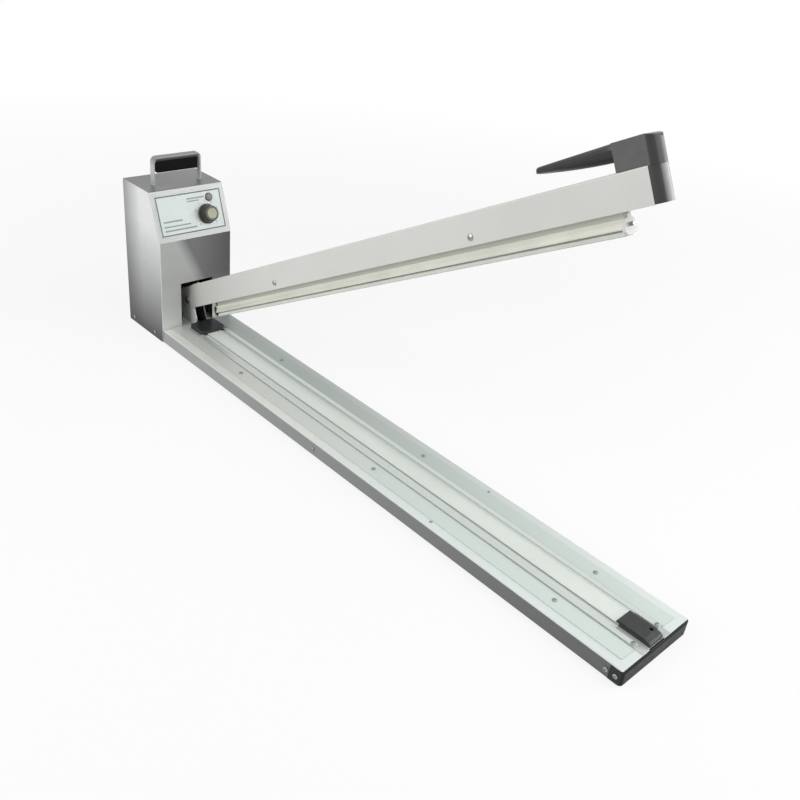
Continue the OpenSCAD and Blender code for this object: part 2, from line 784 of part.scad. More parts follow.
module return_spring() {
    coil_top = spring_top[2] - tail_t / 2 - 6;
    hook_z = spring_top[2] + tail_t / 2 + spring_wire / 2 + 0.5;
    color([0.5, 0.5, 0.52]) seated() translate([spring_x, 0, 0])
        ring_body(wire_rings(coil_path((spring_d - spring_wire) / 2, spring_z0 + 2, coil_top,
            spring_turns, spring_z0 - 4, hook_z), spring_wire / 2, 8));
}

module spring_anchor() {
    floor_z = foot_h + tray_sheet;
    eye_z = spring_z0 - 3;
    color([0.6, 0.6, 0.6]) seated() translate([spring_x, 0, 0]) difference() {
        union() {
            slab([-9, -8, floor_z], [-5, 8, eye_z]);
            slab([5, -8, floor_z], [9, 8, eye_z]);
            slab([-9, -8, eye_z], [9, 8, eye_z + 1.5]);
        }
        translate([0, 0, floor_z]) cylinder(d = spring_wire + 0.6, h = 20);
    }
}

module house_body(e, x0, z0) {
    half = house_half - e;
    intersection() {
        along_y(-half, half) polygon(house_outline(e));
        translate([0, 0, z0]) linear_extrude(roof_z) polygon(rounded(
            [[x0, -half], [house_d - e, -half], [house_d - e, half], [x0, half]],
            [0, house_corner - e, house_corner - e, 0]));
    }
}

module housing_shell() {
    color([0.82, 0.84, 0.82]) seated() difference() {
        union() {
            difference() {
                house_body(0, 0, 0);
                house_body(house_sheet, -1, -1);
                slab([-1, -inner_half, 0], [house_d + 1, inner_half, deck_z + fit]);
            }
            both_sides() slab([back_t, inner_half - 13, deck_z + 4], [back_t + house_sheet, inner_half + 0.2, roof_z - 8]);
        }
        slab([pivot_x - 10, -notch_w / 2, deck_z - 1], [house_d + 1, notch_w / 2, deck_z + notch_h]);
        side_holes(house_screw_x, side_screw_z, screw_hole);
        back_holes();
        strap_slots();
        panel_holes();
    }
}

module strap_slots() {
    half = strap_half + strap_splay;
    both_sides() slab([carry_x - strap_w / 2 - fit, half - strap_t - fit - 0.1, roof_z - 5],
        [carry_x + strap_w / 2 + fit, half + fit, roof_z + 1]);
}

module back_holes() {
    for (z = back_screw_z, s = [-1, 1])
        translate([-1, s * back_screw_y, z]) rotate([0, 90, 0]) cylinder(r = screw_hole, h = 6);
}

gland_side = 27.6;
gland_at = [gland_side - inner_half, deck_z + 22];
fuse_at = [gland_side - inner_half, deck_z + 56];
gland_thread_d = 12;
fuse_body_d = 12.5;
lead_d = 7.4;

module back_panel() {
    color([0.8, 0.82, 0.8]) seated() difference() {
        translate([back_t, 0, 0]) rotate([0, -90, 0]) linear_extrude(back_t) polygon(rounded(
            [[foot_h, -house_half], [foot_h, house_half], [roof_z, house_half], [roof_z, -house_half]],
            [0, 0, 2, 2]));
        back_holes();
        translate([-1, gland_at[0], gland_at[1]]) rotate([0, 90, 0]) cylinder(d = gland_thread_d + fit, h = 5);
        translate([-1, fuse_at[0], fuse_at[1]]) rotate([0, 90, 0]) cylinder(d = fuse_body_d + fit, h = 5);
    }
}

module cable_gland() {
    color([0.1, 0.1, 0.1]) seated() translate([0, gland_at[0], gland_at[1]]) rotate([0, 90, 0]) difference() {
        union() {
            translate([0, 0, -gland_out]) cylinder(d1 = 12, d2 = 16, h = 5);
            translate([0, 0, -gland_out + 5]) cylinder(d = 17, h = gland_out - 8);
            translate([0, 0, -3]) cylinder(d = 20, h = 3, $fn = 6);
            cylinder(d = gland_thread_d, h = back_t + 8);
            translate([0, 0, back_t]) cylinder(d = 18, h = 4, $fn = 6);
        }
        translate([0, 0, -gland_out - 1]) cylinder(d = lead_d, h = gland_out + back_t + 12);
    }
}

module fuse_holder() {
    color([0.12, 0.12, 0.12]) seated() translate([0, fuse_at[0], fuse_at[1]]) rotate([0, 90, 0]) difference() {
        union() {
            translate([0, 0, -2]) cylinder(d = 18, h = 2);
            cylinder(d = fuse_body_d, h = 32);
            translate([0, 0, back_t]) cylinder(d = 18, h = 3, $fn = 6);
        }
        translate([0, 0, -3]) cylinder(d = 9, h = 28);
    }
}

module fuse_cap() {
    color([0.15, 0.15, 0.15]) seated() translate([0, fuse_at[0], fuse_at[1]]) rotate([0, 90, 0]) difference() {
        union() {
            translate([0, 0, -8]) cylinder(d = 13, h = 6);
            translate([0, 0, -2]) cylinder(d = 9 - fit, h = 18);
        }
        slab([-1, -8, -9], [1, 8, -6.5]);
        for (a = [0:30:330]) rotate([0, 0, a]) translate([6.9, 0, -9]) cylinder(r = 0.7, h = 6);
    }
}

module panel_holes() {
    unseated() on_panel(knob_y, knob_up) cylinder(d = 7.2, h = 20, center = true);
    unseated() on_panel(lamp_y, lamp_up) cylinder(d = 8.2, h = 20, center = true);
}

// Undoes seated() where a placed shape is cut from another one
module unseated() {
    translate([centre_x, 0, 0]) children();
}

module label_plate() {
    color([0.88, 0.9, 0.89]) difference() {
        on_panel(0, label_low) linear_extrude(label_t) polygon(rounded(
            [[0, -label_w / 2], [0, label_w / 2], [-label_h, label_w / 2], [-label_h, -label_w / 2]],
            [1.5, 1.5, 1.5, 1.5]));
        on_panel(knob_y, knob_up) cylinder(d = 7.2, h = 20, center = true);
        on_panel(lamp_y, lamp_up) cylinder(d = 8.2, h = 20, center = true);
    }
}

nut_h = 2.2;
knob_gap = 0.6;

module timer_knob() {
    r = knob_d / 2;
    low = label_t + knob_gap;
    color([0.16, 0.16, 0.14]) on_panel(knob_y, knob_up) translate([0, 0, low]) difference() {
        rotate_extrude($fn = 96) polygon([
            [0, 0], [r, 0], [r, 2.2], [r - 1.2, 3], [r - 3.6, knob_h - 1], [r - 4.6, knob_h], [0, knob_h]]);
        for (a = [0:15:345]) rotate([0, 0, a]) translate([r - 1.4, 0, 3.2]) cylinder(r = 0.9, h = knob_h);
        translate([0, 0, -1]) cylinder(d = 14, h = nut_h + 1.6);
        cylinder(d = shaft_d + 0.06, h = knob_h - 4);
        translate([0, 0, knob_h - 1]) cylinder(d = cap_d + 0.2, h = 2);
    }
}

cap_d = 18;

module knob_cap() {
    color([0.72, 0.71, 0.6]) on_panel(knob_y, knob_up)
        translate([0, 0, label_t + knob_gap + knob_h - 1]) difference() {
            cylinder(d1 = cap_d, d2 = cap_d - 1, h = 1.6);
            slab([-cap_d / 2, -0.5, 1.2], [-2, 0.5, 3]);
        }
}

module knob_shaft() {
    color([0.75, 0.75, 0.76]) on_panel(knob_y, knob_up)
        translate([0, 0, -house_sheet - 6]) cylinder(d = shaft_d, h = house_sheet + 6 + label_t + knob_gap + knob_h - 4.5);
}

module potentiometer() {
    under = -house_sheet;
    color([0.5, 0.5, 0.52]) on_panel(knob_y, knob_up) difference() {
        union() {
            translate([0, 0, under - 11]) cylinder(d = 24, h = 11);
            translate([0, 0, under]) cylinder(d = 7, h = house_sheet + label_t + nut_h);
            translate([0, 0, label_t]) cylinder(d = 11, h = nut_h, $fn = 6);
            slab([0, -8, under - 9], [17, 8, under - 7.5]);
        }
        translate([0, 0, under - 7]) cylinder(d = shaft_d + 2 * running, h = 30);
    }
}

module lamp_bezel() {
    under = -house_sheet;
    color([0.3, 0.31, 0.32]) on_panel(lamp_y, lamp_up) difference() {
        union() {
            translate([0, 0, label_t]) cylinder(d1 = lamp_d, d2 = lamp_d - 2.5, h = 2.2);
            translate([0, 0, under - 12]) cylinder(d = 8, h = 12 + house_sheet + label_t + 0.1);
            translate([0, 0, under - 3]) cylinder(d = 12, h = 3, $fn = 6);
        }
        translate([0, 0, label_t - 4]) cylinder(d = 6.6, h = 10);
        translate([0, 0, label_t + 0.8]) cylinder(d = lamp_d - 4.5, h = 10);
    }
}

module lamp_lens() {
    lens_d = lamp_d - 4.6;
    color([0.55, 0.5, 0.48]) on_panel(lamp_y, lamp_up) union() {
        translate([0, 0, label_t + 0.8]) cylinder(d = lens_d, h = 1.2);
        translate([0, 0, label_t + 2]) intersection() {
            cylinder(d = lens_d, h = 3);
            translate([0, 0, -lens_d * 0.55]) sphere(d = lens_d * 1.45);
        }
        translate([0, 0, label_t - 4 + 0.1]) cylinder(d = 6.5, h = 5);
    }
}

strap_foot = 10;
foot_z = roof_z - house_sheet - strap_t;
strap_high = roof_z + strap_h;

// Strap outline from the front, moved inwards by e
function strap_outline(e) =
    let (half = strap_half - e, low = foot_z - (e > 0 ? 1 : 0),
        top = strap_high - (e > 0 ? strap_top : 0), r = e > 0 ? 4 : strap_r)
    rounded([[-half - strap_splay, low], [-half, top], [half, top], [half + strap_splay, low]], [0, r, r, 0]);

// Screws that hold the strap's feet from inside, heads down
module strap_screws_at() {
    for (s = [-1, 1]) translate([carry_x, s * (strap_half + strap_splay - strap_t - strap_foot / 2), foot_z]) children();
}

module carry_strap() {
    x0 = carry_x - strap_w / 2;
    x1 = carry_x + strap_w / 2;
    half = strap_half + strap_splay;
    color([0.8, 0.82, 0.81]) seated() difference() {
        union() {
            difference() {
                intersection() {
                    along_x(x0, x1) polygon(strap_outline(0));
                    along_y(-half - 1, half + 1) polygon(rounded([[x0, foot_z - 1], [x0, strap_high],
                        [x1, strap_high], [x1, foot_z - 1]], [0, 3, 3, 0]));
                }
                along_x(x0 - 1, x1 + 1) polygon(strap_outline(strap_t));
            }
            both_sides() slab([x0, half - strap_foot - strap_t, foot_z], [x1, half - strap_t + 0.3, foot_z + strap_t]);
        }
        strap_screws_at() cylinder(r = screw_hole, h = 20, center = true);
    }
}

grip_side = 3.5;

module carry_grip() {
    gap = 0.05;
    over = -0.3;
    top = strap_high - strap_top - gap;
    half = strap_half - strap_t - grip_side;
    color([0.05, 0.05, 0.05]) seated() along_x(carry_x - strap_w / 2 - over, carry_x + strap_w / 2 + over)
        polygon(rounded([[-half, top - grip_h], [-half, top], [half, top], [half, top - grip_h]],
            [1.5, 2, 2, 1.5]));
}

module core_plan(e) {
    translate([core_x + limb - e, deck_z + core_bracket_t + limb - e]) square([limb + 2 * e, core[2] - 2 * limb + 2 * e]);
    translate([core_x + 4 * limb - e, deck_z + core_bracket_t + limb - e]) square([limb + 2 * e, core[2] - 2 * limb + 2 * e]);
}

module transformer_core() {
    color([0.35, 0.36, 0.38]) seated() along_y(core_y, core_y + core[1]) difference() {
        translate([core_x, deck_z + core_bracket_t]) square([core[0], core[2]]);
        core_plan(0);
    }
}

module transformer_coil() {
    gap = 0.3;
    z0 = deck_z + core_bracket_t + limb + gap;
    z1 = deck_z + core_bracket_t + core[2] - limb - gap;
    color([0.75, 0.55, 0.2]) seated() difference() {
        translate([0, 0, z0]) linear_extrude(z1 - z0) polygon(rounded(
            [[core_x + limb + gap, core_y - coil_out], [core_x + 5 * limb - gap, core_y - coil_out],
                [core_x + 5 * limb - gap, core_y + core[1] + coil_out], [core_x + limb + gap, core_y + core[1] + coil_out]],
            [4, 4, 4, 4]));
        slab([core_x + 2 * limb - gap, core_y - gap, z0 - 1], [core_x + 4 * limb + gap, core_y + core[1] + gap, z1 + 1]);
    }
}

module transformer_bracket() {
    t = core_bracket_t;
    y0 = core_y + 3;
    y1 = core_y + core[1] - 3;
    x0 = core_x - t;
    x1 = core_x + core[0] + t;
    z1 = deck_z + t + core[2];
    color([0.7, 0.7, 0.7]) seated() difference() {
        union() {
            slab([x0, y0, deck_z], [core_x, y1, z1 + t]);
            slab([x1 - t, y0, deck_z], [x1, y1, z1 + t]);
            slab([x0, y0, z1], [x1, y1, z1 + t]);
            slab([x0 - 9, y0, deck_z], [core_x, y1, deck_z + t]);
            slab([x1 - t, y0, deck_z], [x1 + 9, y1, deck_z + t]);
            slab([core_x, y0, deck_z], [x1 - t, y1, deck_z + t]);
        }
        for (p = foot_screws()) translate([p[0], p[1], deck_z - 1]) cylinder(r = screw_hole, h = 5);
    }
}

board = [70, 1.6, 58];
board_x = 18;
board_z = deck_z + 86;
standoff = 8;
board_y = -inner_half + standoff;

module timer_board() {
    color([0.1, 0.35, 0.18]) seated() {
        slab([board_x, board_y, board_z], [board_x + board[0], board_y + board[1], board_z + board[2]]);
        for (x = [5, board[0] - 5], z = [5, board[2] - 5])
            translate([board_x + x, board_y, board_z + z]) rotate([90, 0, 0]) cylinder(r = 2.5, h = standoff, $fn = 6);
    }
}

module board_parts() {
    y = board_y + board[1];
    color([0.2, 0.22, 0.4]) seated() {
        translate([board_x + 14, y, board_z + 40]) rotate([-90, 0, 0]) cylinder(d = 13, h = 22);
        slab([board_x + 26, y, board_z + 30], [board_x + 45, y + 16, board_z + 46]);
        slab([board_x + 8, y, board_z + 10], [board_x + 40, y + 9, board_z + 18]);
        for (i = [0:4]) slab([board_x + 48, y + 2 + 4 * i, board_z + 8], [board_x + 66, y + 3.5 + 4 * i, board_z + 34]);
        slab([board_x + 55, y, board_z + 8], [board_x + 58, y + 19.5, board_z + 34]);
    }
}

module switch_bracket() {
    t = 1.4;
    x0 = switch_x - 13;
    x1 = switch_x + 13;
    color([0.7, 0.7, 0.68]) seated() difference() {
        union() {
            slab([x0, bracket_y - t, deck_z], [x1, bracket_y, switch_z + switch_size[2]]);
            slab([x0, bracket_y - 15, deck_z], [x1, bracket_y, deck_z + t]);
        }
        for (p = foot_screws()) translate([p[0], p[1], deck_z - 1]) cylinder(r = screw_hole, h = 5);
    }
}

module micro_switch() {
    low = [switch_x - switch_size[0] / 2, bracket_y + fit, switch_z];
    color([0.15, 0.15, 0.16]) seated() difference() {
        union() {
            slab(low, low + switch_size);
            for (dx = [4, 14, 24]) slab(low + [dx, 4.8, switch_size[2]], low + [dx + 0.8, 8, switch_size[2] + 6]);
        }
        translate([switch_x, switch_y, switch_z - 1]) cylinder(d = plunger_d + 2 * running, h = 6);
        for (dx = [3, switch_size[0] - 3]) translate(low + [dx, -1, 3])
            rotate([-90, 0, 0]) cylinder(d = 3, h = switch_size[1] + 2);
    }
}

module switch_plunger() {
    reach = switch_z - (pivot_z + tail_top) - 0.3;
    color([0.75, 0.2, 0.15]) seated() translate([switch_x, switch_y, switch_z - reach])
        cylinder(d = plunger_d, h = reach + 3);
}

module deck_screws() {
    color([0.6, 0.62, 0.6]) seated() {
        deck_screws_at() screw(screw_r, 6);
        rivets_at() rivet(rivet_r, base_sheet + 0.8);
        strip_screws_at() screw(screw_r, 7);
    }
}

module side_screws() {
    reach = house_sheet + fit + base_sheet + tray_sheet + 3;
    color([0.62, 0.63, 0.62]) seated() {
        left_right_screws(house_screw_x, side_screw_z, house_half, screw_r, reach);
        left_right_screws(side_screw_x, side_screw_z, base_w / 2, screw_r, reach - house_sheet);
        left_right_screws([cap_screw_x], side_screw_z, base_w / 2, screw_r, 5);
    }
}

module back_screws() {
    color([0.62, 0.63, 0.62]) seated() for (z = back_screw_z, s = [-1, 1])
        translate([0, s * back_screw_y, z]) rotate([0, -90, 0]) screw(screw_r, 5);
}

module inner_screws() {
    color([0.6, 0.6, 0.58]) seated() {
        for (x = bracket_screw_x) translate([x, 0, deck_z + ear_t]) screw(screw_r, 6);
        for (p = foot_screws()) translate([p[0], p[1], deck_z + (p[1] > 0 ? core_bracket_t : 1.4)]) screw(screw_r, 6);
        strap_screws_at() mirror([0, 0, 1]) screw(screw_r, strap_t - 0.02);
    }
}

module arm_section(e) {
    half = arm_w / 2 - e;
    top = arm_h - pin_up - e;
    low = e > 0 ? -pin_up - 1 : -pin_up;
    polygon(rounded([[-half, low], [-half, top], [half, top], [half, low]],
        [0, 2 - e, 2 - e, 0]));
}

module arm_channel() {
    color([0.86, 0.86, 0.84]) on_arm() difference() {
        along_x(-arm_tail, arm_l) arm_section(0);
        along_x(-arm_tail - 1, arm_l + 1) arm_section(arm_wall);
        rotate([90, 0, 0]) cylinder(d = bush_d + 0.04, h = arm_w + 2, center = true);
        for (a = cross_screw_a) translate([a, 0, cross_screw_w]) rotate([90, 0, 0])
            cylinder(r = cross_r + fit, h = arm_w + 2, center = true);
        for (a = handle_screw_a) translate([a, 0, tail_top - 1]) cylinder(r = cross_r + fit, h = 5);
        for (a = tail_rivets) translate([a, 0, tail_top - 1]) cylinder(r = cross_r + fit, h = 5);
    }
}

tail_front = 30;
tail_rivets = [8, 22];

module arm_bushes() {
    color([0.8, 0.62, 0.3]) on_arm() both_sides() rotate([-90, 0, 0]) difference() {
        union() {
            translate([0, 0, arm_w / 2 - arm_wall]) cylinder(d = bush_d, h = arm_wall + 0.1);
            translate([0, 0, arm_w / 2]) cylinder(d = bush_d + 4, h = flange_t);
        }
        translate([0, 0, arm_w / 2 - arm_wall - 1]) cylinder(d = pin_d + 2 * running, h = 8);
    }
}

// Steel tail under the channel's top wall: spring hole, stop face and switch wings
module tail_plate() {
    half = ear_in - 0.4;
    color([0.6, 0.6, 0.62]) on_arm() difference() {
        translate([0, 0, tail_low]) linear_extrude(tail_t - 0.02) polygon([
            [tail_front, -half], [tail_front, half], [-arm_tail - 5, half], [-arm_tail - 8, tail_half],
            [-tail_end, tail_half], [-tail_end, -tail_half], [-arm_tail - 8, -tail_half], [-arm_tail - 5, -half]]);
        translate([-tail_hole, 0, tail_low - 1]) cylinder(d = spring_wire + 3.4, h = tail_t + 2);
        for (a = tail_rivets) translate([a, 0, tail_low - 1]) cylinder(r = cross_r + fit, h = tail_t + 2);
    }
}

module arm_screws() {
    nut_t = 2;
    color([0.6, 0.61, 0.6]) on_arm() {
        for (a = cross_screw_a) translate([a, 0, cross_screw_w]) {
            translate([0, -arm_w / 2, 0]) rotate([90, 0, 0]) screw(cross_r, arm_w + nut_t);
            translate([0, arm_w / 2 + 0.02, 0]) rotate([-90, 0, 0]) difference() {
                cylinder(d = 7, h = nut_t, $fn = 6);
                translate([0, 0, -1]) cylinder(r = cross_r + 0.03, h = 4);
            }
        }
        for (a = handle_screw_a) translate([a, 0, tail_top]) rotate([180, 0, 0]) screw(cross_r, arm_wall + 9);
        for (a = tail_rivets) translate([a, 0, arm_h - pin_up]) screw(cross_r, arm_wall + tail_t + 1);
    }
}

module arm_spacers() {
    inner = arm_w / 2 - arm_wall - 0.02;
    color([0.7, 0.7, 0.7]) on_arm() both_sides() for (a = cross_screw_a)
        translate([a, web_t / 2 + 0.02, cross_screw_w]) rotate([-90, 0, 0]) difference() {
            cylinder(d = 8, h = inner - web_t / 2 - 0.02);
            translate([0, 0, -1]) cylinder(r = cross_r + fit, h = arm_w);
        }
}

// Black cap that closes the channel, with a half-round nose in plan
module arm_end_cap() {
    half = arm_w / 2;
    low = -pin_up + 0.6;
    top = arm_h - pin_up - 1.7;
    color([0.13, 0.13, 0.12]) on_arm() {
        translate([arm_l + 0.02, 0, low]) nose(half, top - low);
        slab([arm_l - 14, -half + arm_wall + fit, low], [arm_l + 0.1, half - arm_wall - fit, tail_top - 3.6]);
    }
}

module nose(half, h) {
    intersection() {
        cylinder(r = half, h = h, $fn = 96);
        slab([0, -half, 0], [half, half, h]);
    }
}

// Ring of the finger grip at s, from 0 at its tip to 1 at the block
function finger_ring(s, sides = 24) =
    let (arch = arm_h - pin_up,
        back = 1 - s,
        blunt = sqrt(1 - pow(max(0, 1 - s / 0.07), 2)),
        full = finger_t * (1 - 0.63 * pow(back, 1.5)),
        droop = 2 * back,
        crease = arch + handle_h - droop - 6,
        top = crease + 6 * blunt,
        low = crease - (full - 6) * blunt,
        half = max(1, (arm_w / 2 - 0.4) * (1 - 0.38 * pow(back, 3)) * blunt),
        a = arm_l - root_l - finger_l + (finger_l + 3) * s)
    [for (k = [0:sides - 1])
        let (c = cos(k * 360 / sides), q = sin(k * 360 / sides))
        [a, -half * sign(c) * pow(abs(c), q > 0 ? 0.3 : 1.4),
            crease + (q > 0 ? (top - crease) * pow(q, 0.5) : -(crease - low) * pow(-q, 1.5))]];

module arm_handle() {
    half = arm_w / 2;
    low = arm_h - pin_up;
    block_x0 = arm_l - root_l;
    color([0.16, 0.16, 0.16]) on_arm() difference() {
        union() {
            ring_body([for (i = [0:20]) finger_ring(0.0006 + 0.9994 * pow(i / 20, 2.2))]);
            intersection() {
                union() {
                    slab([block_x0, -half, low], [arm_l, half, low + handle_h]);
                    translate([arm_l, 0, low - 1.5]) nose(half, handle_h + 1.5);
                }
                along_y(-half, half) polygon(rounded([[block_x0, low - 2], [block_x0, low + handle_h],
                    [arm_l + 2, low + handle_h], [arm_l + half, low + handle_h - 3], [arm_l + half, low - 2]],
                    [0, 0, nose_r * 2, nose_r, 0]));
            }
        }
        for (a = handle_screw_a) translate([a, 0, low - 1]) cylinder(r = cross_r + 0.03, h = 11, $fn = 24);
    }
}

slot_half = 4.2;
slot_deep = 4.4;

module pressure_bar() {
    top = cross_screw_w + 6;
    color([0.8, 0.81, 0.79]) on_arm() difference() {
        along_x(bar_from, bar_to) difference() {
            polygon([[-web_t / 2, top], [web_t / 2, top], [web_t / 2, bar_top], [body_half, bar_top],
                [body_half, flange_top], [flange_half, bar_low + 1.4], [flange_half, bar_low],
                [-flange_half, bar_low], [-flange_half, bar_low + 1.4], [-body_half, flange_top],
                [-body_half, bar_top], [-web_t / 2, bar_top]]);
            translate([-slot_half, bar_low - 1]) square([2 * slot_half, slot_deep + 1]);
        }
        for (a = cross_screw_a) translate([a, 0, cross_screw_w]) rotate([90, 0, 0])
            cylinder(r = cross_r + fit, h = arm_w, center = true);
        for (a = [bar_from - 1, bar_to - 11]) translate([a, 0, end_screw_w()])
            rotate([0, 90, 0]) cylinder(r = cross_r + 0.03, h = 12);
    }
}

function end_screw_w() = cross_screw_w - 7.5;

module silicone_strip() {
    neck = slot_half - fit;
    top = bar_low + slot_deep - fit;
    step = bar_low - 2.1;
    color([0.85, 0.85, 0.82]) on_arm() along_x(bar_from, bar_to) polygon([
        [-neck, top], [neck, top], [neck, bar_low - 0.3], [strip_half - 1.5, step], [strip_half, step],
        [strip_half, strip_low + 1], [strip_half - 1, strip_low], [1 - strip_half, strip_low],
        [-strip_half, strip_low + 1], [-strip_half, step], [1.5 - strip_half, step], [-neck, bar_low - 0.3]]);
}

block_t = 4;
stud_w = flange_top - 2;

module end_plate() {
    tongue = 3;
    out = flange_half + 0.3;
    rotate([90, 0, 90]) linear_extrude(block_t) polygon([
        [-tongue, cross_screw_w], [tongue, cross_screw_w], [tongue, bar_top], [body_half, bar_top],
        [out, flange_top], [out, bar_low - 2], [strip_half, strip_low + 1.2],
        [-strip_half, strip_low + 1.2], [-out, bar_low - 2], [-out, flange_top],
        [-body_half, bar_top], [-tongue, bar_top]]);
}

module bar_end_plates() {
    color([0.86, 0.87, 0.85]) on_arm() difference() {
        union() {
            translate([bar_from - block_t - 0.02, 0, 0]) end_plate();
            translate([bar_to + 0.02, 0, 0]) end_plate();
        }
        for (a = [bar_from - block_t - 1, bar_to - 1]) translate([a, 0, end_screw_w()])
            rotate([0, 90, 0]) cylinder(r = cross_r + fit, h = block_t + 2);
        translate([bar_to + block_t - 6, 0, stud_w]) rotate([0, 90, 0]) cylinder(r = cross_r + 0.03, h = 10);
    }
}

module bar_end_screws() {
    color([0.6, 0.6, 0.6]) on_arm() {
        translate([bar_to + block_t + 0.02, 0, end_screw_w()]) rotate([0, 90, 0]) screw(cross_r, block_t + 8);
        translate([bar_from - block_t - 0.02, 0, end_screw_w()]) rotate([0, -90, 0]) screw(cross_r, block_t + 8);
        translate([bar_to + 0.3, 0, stud_w]) rotate([0, 90, 0]) cylinder(r = cross_r, h = block_t + 3.7);
    }
}

base_channel();
bottom_tray();
rubber_feet();
end_cap();
deck_plate_left();
deck_plate_right();
seal_rail();
rail_tape();
heating_ribbon();
nonstick_cloth();
clamp_strips();
front_terminal_guide();
tension_springs();
ribbon_clamp();
front_cover();
rear_terminal();
rear_cover();
hinge_bracket();
hinge_pin();
pin_clips();
stop_rod();
return_spring();
spring_anchor();
housing_shell();
back_panel();
cable_gland();
fuse_holder();
fuse_cap();
label_plate();
timer_knob();
knob_cap();
knob_shaft();
potentiometer();
lamp_bezel();
lamp_lens();
carry_strap();
carry_grip();
transformer_core();
transformer_coil();
transformer_bracket();
timer_board();
board_parts();
switch_bracket();
micro_switch();
switch_plunger();
deck_screws();
side_screws();
back_screws();
inner_screws();
arm_channel();
arm_bushes();
tail_plate();
arm_screws();
arm_spacers();
arm_end_cap();
arm_handle();
pressure_bar();
silicone_strip();
bar_end_plates();
bar_end_screws();
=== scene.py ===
"""Dresses the long-arm bag sealer: finishes, printed panel, cloth and stage.

Every length is in metres and lies in the CAD frame: +X along the base to the free end,
+Y across it to the timer knob's side, +Z up from the bench.
"""

import json
import math

import bmesh
import bpy
from bpy.props import FloatProperty, FloatVectorProperty, IntProperty, PointerProperty
from mathutils import Matrix, Vector, noise


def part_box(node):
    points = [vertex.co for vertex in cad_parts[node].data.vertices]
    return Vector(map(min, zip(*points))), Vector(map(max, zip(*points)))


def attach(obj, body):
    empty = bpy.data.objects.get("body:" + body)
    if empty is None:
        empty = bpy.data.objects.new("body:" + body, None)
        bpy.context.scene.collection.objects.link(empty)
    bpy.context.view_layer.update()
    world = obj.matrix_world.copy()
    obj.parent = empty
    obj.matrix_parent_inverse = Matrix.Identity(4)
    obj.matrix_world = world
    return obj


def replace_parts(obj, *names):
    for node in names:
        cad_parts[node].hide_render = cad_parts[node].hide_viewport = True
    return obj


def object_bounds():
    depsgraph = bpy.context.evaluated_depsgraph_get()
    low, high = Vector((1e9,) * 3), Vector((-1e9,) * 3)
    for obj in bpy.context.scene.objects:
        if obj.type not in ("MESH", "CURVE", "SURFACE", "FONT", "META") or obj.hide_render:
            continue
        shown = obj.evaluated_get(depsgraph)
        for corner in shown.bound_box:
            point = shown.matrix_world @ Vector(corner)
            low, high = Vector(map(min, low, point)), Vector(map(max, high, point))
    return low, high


bl_info = {
    "name": "Bag sealer finish",
    "version": (1, 0, 0),
    "blender": (4, 5, 0),
    "location": "3D View > Sidebar > Sealer",
    "description": "Finishes, printed panel, cloth and stage for the long-arm bag sealer",
    "category": "Object",
}

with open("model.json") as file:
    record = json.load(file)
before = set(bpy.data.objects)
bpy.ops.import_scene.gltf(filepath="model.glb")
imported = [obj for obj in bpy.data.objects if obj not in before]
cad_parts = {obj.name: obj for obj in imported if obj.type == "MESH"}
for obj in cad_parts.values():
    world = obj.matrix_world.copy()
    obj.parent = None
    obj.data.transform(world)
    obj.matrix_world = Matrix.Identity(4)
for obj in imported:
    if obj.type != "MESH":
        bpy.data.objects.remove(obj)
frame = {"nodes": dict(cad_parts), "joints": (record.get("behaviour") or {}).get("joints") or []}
CAD_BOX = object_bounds()
NODES = frame["nodes"]
JOINTS = {joint["name"]: joint for joint in frame["joints"]}
MM = 0.001
PRINT = 0.06 * MM  # Thickness of a printed line on the panel

# The knob's axis stands square on the sloping panel, so it gives the panel's own directions
PANEL_OUT = Vector(JOINTS["timer_knob_turn"]["axis"]).normalized()
PANEL_RIGHT = Vector((0.0, 1.0, 0.0))
PANEL_UP = PANEL_OUT.cross(PANEL_RIGHT)
KNOB_AXIS = Vector(JOINTS["timer_knob_turn"]["pos_m"])

# The model's own directions, and the raised arm's: along it from the hinge, and out of its top
X, Y, Z = Matrix.Identity(3)
HINGE = Vector(JOINTS["arm_hinge"]["pos_m"])
RAISED = math.radians(max(abs(angle) for angle in JOINTS["arm_hinge"]["range_deg"]))
ARM_ALONG = Vector((math.cos(RAISED), 0.0, math.sin(RAISED)))
ARM_UP = Vector((-math.sin(RAISED), 0.0, math.cos(RAISED)))


def srgb(code):
    """Linear colour of an sRGB hex value such as "#C8CAC6"."""
    values = [int(code[i:i + 2], 16) / 255 for i in (1, 3, 5)]
    linear = [v / 12.92 if v <= 0.04045 else ((v + 0.055) / 1.055) ** 2.4 for v in values]
    return (*linear, 1.0)


# Painted shade: the dark under the raised arm by the hinge
HINGE_PAINTED_SHADE = srgb("#1C1D1C")


def colour_property(name, description, code):
    return FloatVectorProperty(name=name, description=description, subtype="COLOR", size=4,
                               min=0.0, max=1.0, default=srgb(code))


class SheetMetalSettings(bpy.types.PropertyGroup):
    """Colours and gloss of the painted and bare sheet metal."""

    housing: colour_property("Housing", "Silver lacquer on the housing", "#D8DAD8")
    deck: colour_property("Deck", "Lacquer on top of the base", "#D3DAD6")
    skirt: colour_property("Skirt", "Folded side of the base by the housing", "#8E918F")
    plate: colour_property("Deck plates", "Anodised plates beside the rail", "#C6D0CA")
    strip: colour_property("Strips", "Bright strips that clamp the cloth", "#C9CECA")
    gloss: FloatProperty(name="Roughness", description="Roughness of the lacquer",
                         default=0.3, min=0.05, max=1.0)
    peel: FloatProperty(name="Orange peel", description="Width of one ripple in the lacquer",
                        default=4.0 * MM, min=0.2 * MM, unit="LENGTH")


